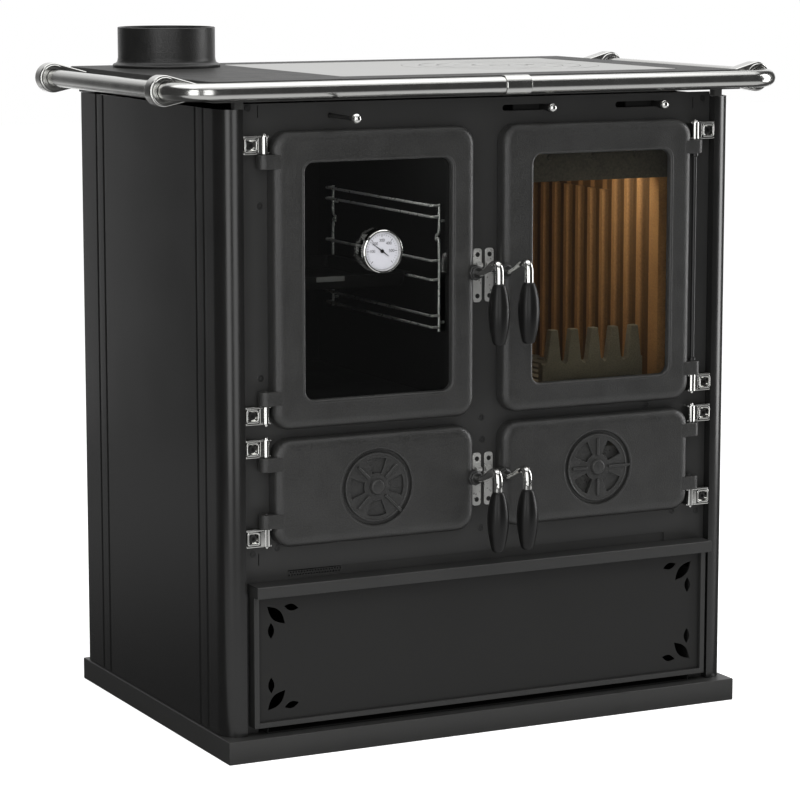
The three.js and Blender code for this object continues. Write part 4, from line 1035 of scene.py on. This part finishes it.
# %% Thermometer case and dial
gauge_x, gauge_z, gauge_radius = -155.5, 642, 27.6
case_back, case_front = pocket_floor, pocket_floor - 11.8
dial_y = case_front + 5.5
case = [(0, case_back), (gauge_radius - 1.5, case_back), (gauge_radius - 1, case_front + 4)]
case += [(gauge_radius, case_front + 2.4), (gauge_radius - 0.2, case_front + 0.9), (gauge_radius - 1.2, case_front), (gauge_radius - 2.6, case_front + 0.2)]
case += [(gauge_radius - 3.6, case_front + 1.6), (gauge_radius - 4, dial_y - 0.2), (0, dial_y - 0.2)]
stem = swept([(gauge_x, case_back, gauge_z), (gauge_x, case_back + 16, gauge_z)], 3.5, 24)
piece("gauge_case", [turned("Y", gauge_x, gauge_z, case, 72), stem], polished, "thermometer_case")
dial = turned("Y", gauge_x, gauge_z, [(0, dial_y - 0.6), (23.4, dial_y - 0.6), (23.4, dial_y), (0, dial_y)], 72)
piece("gauge_dial", dial, dial_white, "thermometer_case", replaces=False)

# %% Ticks and numbers
def mark(radius_in, radius_out, angle, width):
    """A printed line on the dial, at an angle in degrees from 3 o'clock."""
    t = radians(angle)
    along, across = Vector((cos(t), sin(t))), Vector((-sin(t), cos(t))) * width / 2
    corners = [along * radius_in - across, along * radius_out - across]
    corners += [along * radius_out + across, along * radius_in + across]
    shape = [(gauge_x + c.x, gauge_z + c.y) for c in corners]
    return sheet("Y", shape, [], dial_y - 0.75, dial_y - 0.6, edge=0)


ticks = []
first_angle, last_angle, tick_count = 225, -45, 30
for i in range(tick_count + 1):
    angle = first_angle + (last_angle - first_angle) * i / tick_count
    ticks.append(mark(19.6 if i % 5 else 18, 21.4, angle, 0.35 if i % 5 else 0.7))
piece("gauge_ticks", ticks, screw_black, "thermometer_case", replaces=False)
for i in range(1, 6):
    angle = radians(first_angle + (last_angle - first_angle) * i / 6)
    label = bpy.data.curves.new(f"gauge_number_{i}", "FONT")
    label.body = str(i * 100)
    label.size = 5.4 * MM
    label.align_x, label.align_y = "CENTER", "CENTER"
    label.extrude = 0.05 * MM
    number = bpy.data.objects.new(f"gauge_number_{i}", label)
    bpy.context.scene.collection.objects.link(number)
    place = Vector((gauge_x + 13.6 * cos(angle), dial_y - 0.68, gauge_z + 13.6 * sin(angle))) * MM
    number.matrix_world = Matrix.Translation(place) @ Matrix.Rotation(pi / 2, 4, "X")
    label.materials.append(screw_black)
    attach(number, "oven_door")

# %% Needle
tip, tail = Vector((-17, 12.5)), Vector((9, -6.6))
side = Vector((0.62, 0.8)) * 0.75
needle = [tip, -side, tail - side * 0.4, tail + side * 0.4, side]
shape = [(gauge_x + p.x, gauge_z + p.y) for p in needle]
pin_section = [(0, dial_y - 2.6), (2, dial_y - 2.6), (2.4, dial_y - 2.2), (2.4, dial_y - 0.9), (0, dial_y - 0.9)]
pin = turned("Y", gauge_x, gauge_z, pin_section, 32)
hand = sheet("Y", shape, [], dial_y - 2, dial_y - 1.5, edge=0)
piece("gauge_needle", [hand, pin], gloss, "thermometer_needle")

# %% [markdown]
# ## Oven
# A dark enamelled box, with a wire rack at each side and a tray between them.

# %% Racks
runner_heights = (533, 548, 595, 620, 677, 691.5)
wire = 1.9
for side, sign in (("left", -1), ("right", 1)):
    low, high = ends(f"oven_rack_{side}")
    wall = low.x if sign < 0 else high.x
    x = wall - sign * 7.2
    inner = x - sign * 11
    solids = []
    for y, hook in ((-195, 7), (123, -7)):
        kink = 650
        post = [(x, y, low.z), (x, y, kink - 12), (x, y + hook, kink - 4), (x, y + hook, kink + 2)]
        post += [(x, y, kink + 9), (x, y, high.z)]
        solids.append(swept(smooth_path(post, 5), wire, 12))
        for z in (runner_heights[0] + 6, runner_heights[-1] - 20):
            solids.append(swept([(x, y, z), (wall, y, z)], wire, 12))
    for z in runner_heights:
        bent = [(x, -195, z), (inner + sign * 2, -195, z), (inner, -193, z), (inner, 121, z), (inner + sign * 2, 123, z)]
        solids.append(swept([*bent, (x, 123, z)], wire, 12))
    piece(f"wire_rack_{side}", solids, zinc, f"oven_rack_{side}")

# %% Tray
low, high = ends("oven_tray")
rim_width, sheet_steel = 9, 2


def open_tray(x0, x1, y0, y1, z0, z1, thickness, draft=0.0):
    """A pan with an open top, pressed from sheet; draft narrows its floor."""
    def ring(inset, z, radius=6):
        return [(x, y, z) for x, y in rounded(x0 + inset, x1 - inset, y0 + inset, y1 - inset, radius, 5)]

    t = thickness
    rings = [ring(draft + 2, z0), ring(draft, z0 + 2), ring(0, z1 - 0.3), ring(0.3, z1), ring(t - 0.3, z1)]
    rings += [ring(t, z1 - 0.3), ring(t + draft, z0 + t + 2), ring(t + draft + 2, z0 + t)]
    return loft(rings)


body_tray = open_tray(low.x + rim_width, high.x - rim_width, low.y, high.y, low.z, high.z - 0.2, 1.6, draft=3)
wings = [
    block(x0, x1, low.y, high.y, high.z - sheet_steel, high.z, edge=0.7)
    for x0, x1 in ((low.x, low.x + rim_width + 2), (high.x - rim_width - 2, high.x))
]
piece("baking_tray", [body_tray, *wings], enamel, "oven_tray")
tab = block(-193, -153, low.y - 0.6, low.y + 3, high.z - 7, high.z - 0.4, edge=0.5)
piece("tray_tab", tab, worn_edge, "oven_tray", replaces=False)
for name, material in (("oven_liner", enamel), ("lower_liner", charcoal), ("rear_panel", satin)):
    shown = frame["nodes"][name]
    shown.data.materials.clear()
    shown.data.materials.append(material)

# %% [markdown]
# ## Fire
# The firebox is lined with cast plates, fluted from top to bottom, that have burnt brown. A fence keeps the logs
# off the pane, and a plate leans over the fire.

# %% Fence
low, high = ends("log_fence")
teeth, gap_z = 5, 479
pitch = (high.x - low.x) / teeth
outline = [(low.x, low.z), (high.x, low.z)]
for i in reversed(range(teeth)):
    x = low.x + pitch * i
    outline += [(x + pitch, gap_z), (x + pitch * 0.93, gap_z), (x + pitch * 0.76, high.z), (x + pitch * 0.42, high.z)]
    outline += [(x + pitch * 0.25, gap_z), (x + pitch * 0.12, gap_z - 4), (x, gap_z - 2)]
piece("log_guard", sheet("Y", outline, [], low.y, high.y, edge=1.4, steps=2), fence_iron_painted_light, "log_fence")
inner_finishes = {
    "firebox_lining": lining_iron_and_painted_shade, "baffle_plate": lining_iron_and_painted_shade, "fire_grate": fence_iron_painted_light, "ash_pan": zinc,
}
for name, material in inner_finishes.items():
    shown = frame["nodes"][name]
    shown.data.materials.clear()
    shown.data.materials.append(material)

# %% [markdown]
# Over the pane's top edge hangs a scorched plate that turns the smoke back. It is bent once, so that its lower
# half leans away from the glass, and three bolts hold it. The flutes of the side walls run on up behind it.

# %% Smoke plate and the tops of the flutes
lining_low, lining_high = ends("firebox_lining")
baffle_low, baffle_high = ends("baffle_plate")
wall_thick, land, flute_deep, flute_count = 14, 20, 6, 10
flute_pitch = ((lining_high.y - 16) - (lining_low.y + land)) / flute_count
cheek_back = baffle_low.y - 0.5
cheeks = []
for edge_x, inward in ((lining_low.x, 1), (lining_high.x, -1)):
    face_x = edge_x + inward * wall_thick
    shape = [(edge_x, cheek_back), (edge_x, lining_low.y), (face_x, lining_low.y), (face_x, lining_low.y + land)]
    for i in range(flute_count):
        for share, deep in ((0.12, 0), (0.3, 1), (0.7, 1), (0.88, 0)):
            y = lining_low.y + land + flute_pitch * (i + share)
            if y < cheek_back:
                shape.append((face_x - inward * flute_deep * deep, y))
    shape.append((shape[-1][0], cheek_back))
    cheeks.append(sheet("Z", shape, [], lining_high.z, baffle_high.z, edge=0))
piece("lining_cheeks", cheeks, lining_iron_and_painted_shade, "firebox_lining", replaces=False)
fold_z, hem_z, plate_top = 741, 718.5, 775
smoke_y, steel_plate = lining_low.y - 6.2, 2.6
lean = 3
bent = [(smoke_y, plate_top), (smoke_y, fold_z), (smoke_y + lean, hem_z), (smoke_y + lean + steel_plate, hem_z)]
bent += [(smoke_y + steel_plate, fold_z), (smoke_y + steel_plate, plate_top)]
x0, x1 = lining_low.x + 0.3, lining_high.x - 0.3
smoke_plate = [sheet("X", bent, [], x0, x1, edge=0.6)]
bolt_z = 750.5
bolt = [(0, smoke_y - 2.4), (3.6, smoke_y - 2.4), (4.6, smoke_y), (0, smoke_y + 1)]
for x in (100.5, 165.5, 230.5):
    smoke_plate.append(turned("Y", x, bolt_z, bolt, 6))
piece("smoke_plate", smoke_plate, scorched, "baffle_plate", replaces=False)
print("flutes:", 2 * flute_count, "pitch", round(flute_pitch, 1), "mm")

# %% [markdown]
# Painted shade darkens the valleys of the flutes, and their crests keep the lining's full colour as painted
# highlights. The lining's own colour is multiplied by a wave with the flutes' pitch, along Y on the side walls
# and along X on the back wall.

# %% Painted shade in the flutes' valleys
nodes, links = lining_iron_and_painted_shade.node_tree.nodes, lining_iron_and_painted_shade.node_tree.links
place = nodes.new("ShaderNodeTexCoord").outputs["Object"]
split = nodes.new("ShaderNodeSeparateXYZ")
links.new(place, split.inputs[0])


def crest_wave(along, start, pitch):
    """1 on a flute's crest and 0 in the middle of its valley."""
    turns = math_node(nodes, links, "DIVIDE", math_node(nodes, links, "SUBTRACT", along, start * MM), pitch * MM)
    from_middle = math_node(nodes, links, "SUBTRACT", math_node(nodes, links, "FRACT", turns), 0.5)
    return math_node(nodes, links, "MULTIPLY", math_node(nodes, links, "ABSOLUTE", from_middle), 2)


back_wall = lining_high.y - 16
back_pitch = (lining_high.x - lining_low.x - 2 * wall_thick) / (flute_count - 2)
side_wave = crest_wave(split.outputs["Y"], lining_low.y + land, flute_pitch)
back_wave = crest_wave(split.outputs["X"], lining_low.x + wall_thick, back_pitch)
on_back = math_node(nodes, links, "GREATER_THAN", split.outputs["Y"], (back_wall - 1) * MM)
on_land = math_node(nodes, links, "LESS_THAN", split.outputs["Y"], (lining_low.y + land) * MM)
wave = nodes.new("ShaderNodeMix")
links.new(on_back, wave.inputs[0])
links.new(side_wave, wave.inputs[2])
links.new(back_wave, wave.inputs[3])
crest = math_node(nodes, links, "MAXIMUM", wave.outputs[0], on_land)
# Painted shade: 0.3 of the lining's colour in a valley's middle, all of it on a crest.
painted_flute_shade = nodes.new("ShaderNodeMapRange")
painted_flute_shade.interpolation_type = "SMOOTHSTEP"
links.new(crest, painted_flute_shade.inputs["Value"])
painted_flute_shade.inputs["From Min"].default_value, painted_flute_shade.inputs["From Max"].default_value = 0.5, 0.82
painted_flute_shade.inputs["To Min"].default_value, painted_flute_shade.inputs["To Max"].default_value = 0.3, 1.0
shader = nodes["Principled BSDF"]
# Multiplies the lining's colour by the painted shade.
painted_shade_mix = nodes.new("ShaderNodeMix")
painted_shade_mix.data_type, painted_shade_mix.blend_type = "RGBA", "MULTIPLY"
painted_shade_mix.inputs[0].default_value = 1
links.new(shader.inputs["Base Color"].links[0].from_socket, painted_shade_mix.inputs[6])
links.new(painted_flute_shade.outputs["Result"], painted_shade_mix.inputs[7])
links.new(painted_shade_mix.outputs[2], shader.inputs["Base Color"])

# %% [markdown]
# ## Wood drawer
# The drawer's front is a panel in a narrow raised frame, with leaves cut through near its corners. A folded
# lip along its top is the pull.

# %% Drawer
low, high = drawer_low, drawer_high
half, lip_bottom, lip_top = high.x - 1, high.z - 15, high.z
front_y, panel_y, frame_bottom, bar_width = plate_y - 19, plate_y - 14, 40, 7


def leaf(x0, z0, x1, z1, bulge):
    """Two arcs between two points."""
    a, b = Vector((x0, z0)), Vector((x1, z1))
    along = b - a
    off = Vector((-along.y, along.x)).normalized() * bulge
    steps = 12
    there = [a + along * (i / steps) - off * sin(pi * i / steps) for i in range(steps)]
    back = [b - along * (i / steps) + off * sin(pi * i / steps) for i in range(steps)]
    return [tuple(p) for p in there + back]


left, right = -half + bar_width, half - bar_width
bottom, height = frame_bottom + bar_width, lip_bottom
leaf_shapes = ((13.5, 14.5, 38, 38.5, 7), (37, 16, 57, 20.5, 4.4), (18.5, 36, 18.5, 57, 4.4))
leaves = []
for corner_x, dx in ((left, 1), (right, -1)):
    for corner_z, dz in ((bottom, 1), (height, -1)):
        for a0, b0, a1, b1, bulge in leaf_shapes:
            root = (corner_x + dx * a0, corner_z + dz * b0)
            tip = (corner_x + dx * a1, corner_z + dz * b1)
            leaves.append(leaf(*root, *tip, bulge))
border = [(-half, frame_bottom), (half, frame_bottom), (half, lip_bottom + 1), (-half, lip_bottom + 1)]
inside = [(left, bottom), (right, bottom), (right, height), (left, height)]
panel_outline = [(left - 1, bottom - 1), (right + 1, bottom - 1), (right + 1, height + 1), (left - 1, height + 1)]
back_y = plate_y - 0.6
solids = [
    sheet("Y", border, [inside], front_y, panel_y + 2, edge=0.7),
]
pull = [(low.y + 0.2, lip_bottom), (low.y, lip_top - 1), (low.y + 1, lip_top), (back_y, lip_top)]
pull += [(back_y, lip_top - 2), (low.y + 2.4, lip_top - 2), (low.y + 2.2, lip_bottom)]
solids.append(sheet("X", pull, [], low.x, high.x, edge=0.5))
for sign in (-1, 1):
    x0, x1 = sorted((sign * (half + 1), sign * (half - 1)))
    solids.append(block(x0, x1, low.y + 1, back_y, lip_bottom, lip_top - 0.5, edge=0.4))
    x0, x1 = sorted((sign * half, sign * (half - 2)))
    solids.append(block(x0, x1, panel_y, back_y, frame_bottom, lip_bottom + 1, edge=0.3))
piece("drawer_front", solids, charcoal, "wood_drawer")
panel = sheet("Y", panel_outline, leaves, panel_y, panel_y + 1.8, edge=0.25)
piece("drawer_panel", [panel], drawer_black, "wood_drawer", replaces=False)
tub_half, tub_top, tub_front = 315, low.z + 158, panel_y + 2
tub = [
    block(-tub_half, tub_half, tub_front, high.y, low.z, low.z + 2, edge=0.4),
    block(-tub_half, tub_half, high.y - 2, high.y, low.z + 1, tub_top, edge=0.6),
    block(-tub_half, -tub_half + 2, tub_front, high.y, low.z + 1, tub_top, edge=0.6),
    block(tub_half - 2, tub_half, tub_front, high.y, low.z + 1, tub_top, edge=0.6),
]
piece("drawer_tub", tub, soot, "wood_drawer", replaces=False)
print("leaves:", len(leaves))

# %% [markdown]
# ## Studio
# A white floor and a white world stand behind the stove, and light it only at a plain level. Black enamel and
# chrome show what stands round them, so dark cards stand in front and at the left, as a photographer sets them.
# They glow faintly by themselves, as painted light in place of lamp light falling on them. Only reflections see
# the cards. Narrow upright lamps draw the lines along the corners.

# %% Floor and world
def seen_directly(nodes, links):
    """1 for what the camera sees straight, in a mirror or through glass, and 0 for scattered light."""
    path = nodes.new("ShaderNodeLightPath")
    seen = math_node(nodes, links, "MAXIMUM", path.outputs["Is Camera Ray"], path.outputs["Is Glossy Ray"])
    return math_node(nodes, links, "MAXIMUM", seen, path.outputs["Is Transmission Ray"])


floor_reach = 12
corners = [(-1, -1), (1, -1), (1, 1), (-1, 1)]
floor_mesh = bpy.data.meshes.new("floor")
floor_mesh.from_pydata([(x * floor_reach, y * floor_reach, 0) for x, y in corners], [], [(0, 1, 2, 3)])
floor = bpy.data.objects.new("floor", floor_mesh)
bpy.context.scene.collection.objects.link(floor)
paper = bpy.data.materials.new("white_floor")
paper.use_nodes = True
nodes, links = paper.node_tree.nodes, paper.node_tree.links
shader = nodes["Principled BSDF"]
shader.inputs["Base Color"].default_value = (0.85, 0.85, 0.85, 1)
shader.inputs["Roughness"].default_value = 0.9
shader.inputs["Specular IOR Level"].default_value = 0.1
paper_glow = 0.7
glow = math_node(nodes, links, "MULTIPLY", seen_directly(nodes, links), paper_glow)
links.new(glow, shader.inputs["Emission Strength"])
shader.inputs["Emission Color"].default_value = (1, 1, 1, 1)
floor_mesh.materials.append(paper)

world = bpy.data.worlds.new("white_world")
bpy.context.scene.world = world
world.use_nodes = True
nodes, links = world.node_tree.nodes, world.node_tree.links
sky = nodes["Background"]
scattered_level = 0.4
strength = math_node(nodes, links, "MULTIPLY_ADD", seen_directly(nodes, links), 1 - scattered_level)
strength.node.inputs[2].default_value = scattered_level
links.new(strength, sky.inputs["Strength"])
sky.inputs["Color"].default_value = (1, 1, 1, 1)

# %% Dark cards
def toward(degrees, distance, height=0.0):
    """A place at a compass bearing from the stove: 0 is behind it, 90 at its right, 180 in front."""
    return Vector((distance * sin(radians(degrees)), distance * cos(radians(degrees)), height))


def glowing_card_finish(name, near, far, level_near, level_far):
    """A card finish that glows by itself as painted light, changing smoothly between two values of Y."""
    material = bpy.data.materials.new(name)
    material.use_nodes = True
    nodes, links = material.node_tree.nodes, material.node_tree.links
    split = nodes.new("ShaderNodeSeparateXYZ")
    links.new(nodes.new("ShaderNodeTexCoord").outputs["Object"], split.inputs[0])
    ramp = nodes.new("ShaderNodeMapRange")
    ramp.interpolation_type = "SMOOTHSTEP"
    links.new(split.outputs["Y"], ramp.inputs["Value"])
    ends_of_ramp = {"From Min": near, "From Max": far, "To Min": level_near, "To Max": level_far}
    for label, number in ends_of_ramp.items():
        ramp.inputs[label].default_value = number
    shader = nodes["Principled BSDF"]
    shader.inputs["Base Color"].default_value = (0.01, 0.01, 0.01, 1)
    shader.inputs["Specular IOR Level"].default_value = 0.0
    shader.inputs["Emission Color"].default_value = (1, 1, 1, 1)
    links.new(ramp.outputs["Result"], shader.inputs["Emission Strength"])
    return material


def card(name, points, faces, material):
    """A card that only reflections and what is behind glass see."""
    mesh = bpy.data.meshes.new(name)
    mesh.from_pydata(points, [], faces)
    mesh.materials.append(material)
    made = bpy.data.objects.new(name, mesh)
    bpy.context.scene.collection.objects.link(made)
    made.visible_camera = made.visible_diffuse = made.visible_shadow = False


wall_first, wall_last, wall_distance, wall_height, steps = 58, 352, 2.5, 3.2, 72
bearings = [wall_first + (wall_last - wall_first) * i / steps for i in range(steps + 1)]
upright = [(2 * i, 2 * i + 2, 2 * i + 3, 2 * i + 1) for i in range(steps)]
# Painted light: the wall glows more towards its back end.
wall_glow = glowing_card_finish("wall_glow", 2.13, 2.42, 0.05, 0.8)
wall_points = [toward(t, wall_distance, z) for t in bearings for z in (0.0, wall_height)]
card("dark_wall", wall_points, upright, wall_glow)
round_floor = [toward(360 * i / steps, wall_distance, 0.001) for i in range(steps)]
card("dark_floor", round_floor, [tuple(range(steps))], glowing_card_finish("floor_glow", 0.0, 1.5, 0.06, 0.2))
board_x, board_back, board_front = 1.7, -0.3, -1.9
board_lift = 0.002
board = [(-board_x, board_front, board_lift), (board_x, board_front, board_lift)]
board += [(board_x, board_back, board_lift), (-board_x, board_back, board_lift)]
card("grey_board", board, [(0, 1, 2, 3)], glowing_card_finish("board_glow", board_front, -1.0, 0.08, 0.75))

# %% Lamps
def lamp(name, place, target, width, height, power, mirrored=True):
    """A soft box that faces a point. Unless it is mirrored, reflections don't show it."""
    data = bpy.data.lights.new(name, "AREA")
    data.shape = "RECTANGLE"
    data.size, data.size_y, data.energy = width, height, power
    made = bpy.data.objects.new(name, data)
    bpy.context.scene.collection.objects.link(made)
    made.location = place
    made.rotation_euler = (Vector(target) - Vector(place)).to_track_quat("-Z", "Y").to_euler()
    made.visible_camera = False
    made.visible_glossy = made.visible_transmission = mirrored
    return made


left_corner = Vector((-0.35, -0.21, 0))
lamp("left_strip", left_corner + toward(227, 1.75, 1.05), left_corner + Vector((0, 0, 1.05)), 0.66, 2.0, 12)
lamp("front_strip", left_corner + toward(191, 1.75, 1.05), left_corner + Vector((0, 0, 1.05)), 0.66, 2.0, 10)
right_corner = Vector((0.35, -0.21, 0))
lamp("right_strip", right_corner + toward(104, 1.75, 1.05), right_corner + Vector((0, 0, 1.05)), 0.7, 2.0, 24)
lamp("front_fill", toward(160, 2.4, 2.6), (0, -0.2, 0.5), 1.6, 0.8, 25, mirrored=False)
lamp("top_box", (0, 0.2, 2.9), (0, 0, 0.8), 3.4, 2.4, 30)
lamp("firebox_lamp", (0.16, -0.19, 0.735), (0.16, 0.02, 0.5), 0.16, 0.03, 0.36, mirrored=False)
lamp("oven_lamp", (-0.16, -0.2, 0.765), (-0.13, 0.02, 0.55), 0.16, 0.02, 0.3, mirrored=False)

# %% [markdown]
# ## View
# The colours go to the screen unchanged.

# %% Finish
bpy.context.scene.view_settings.view_transform = "Standard"
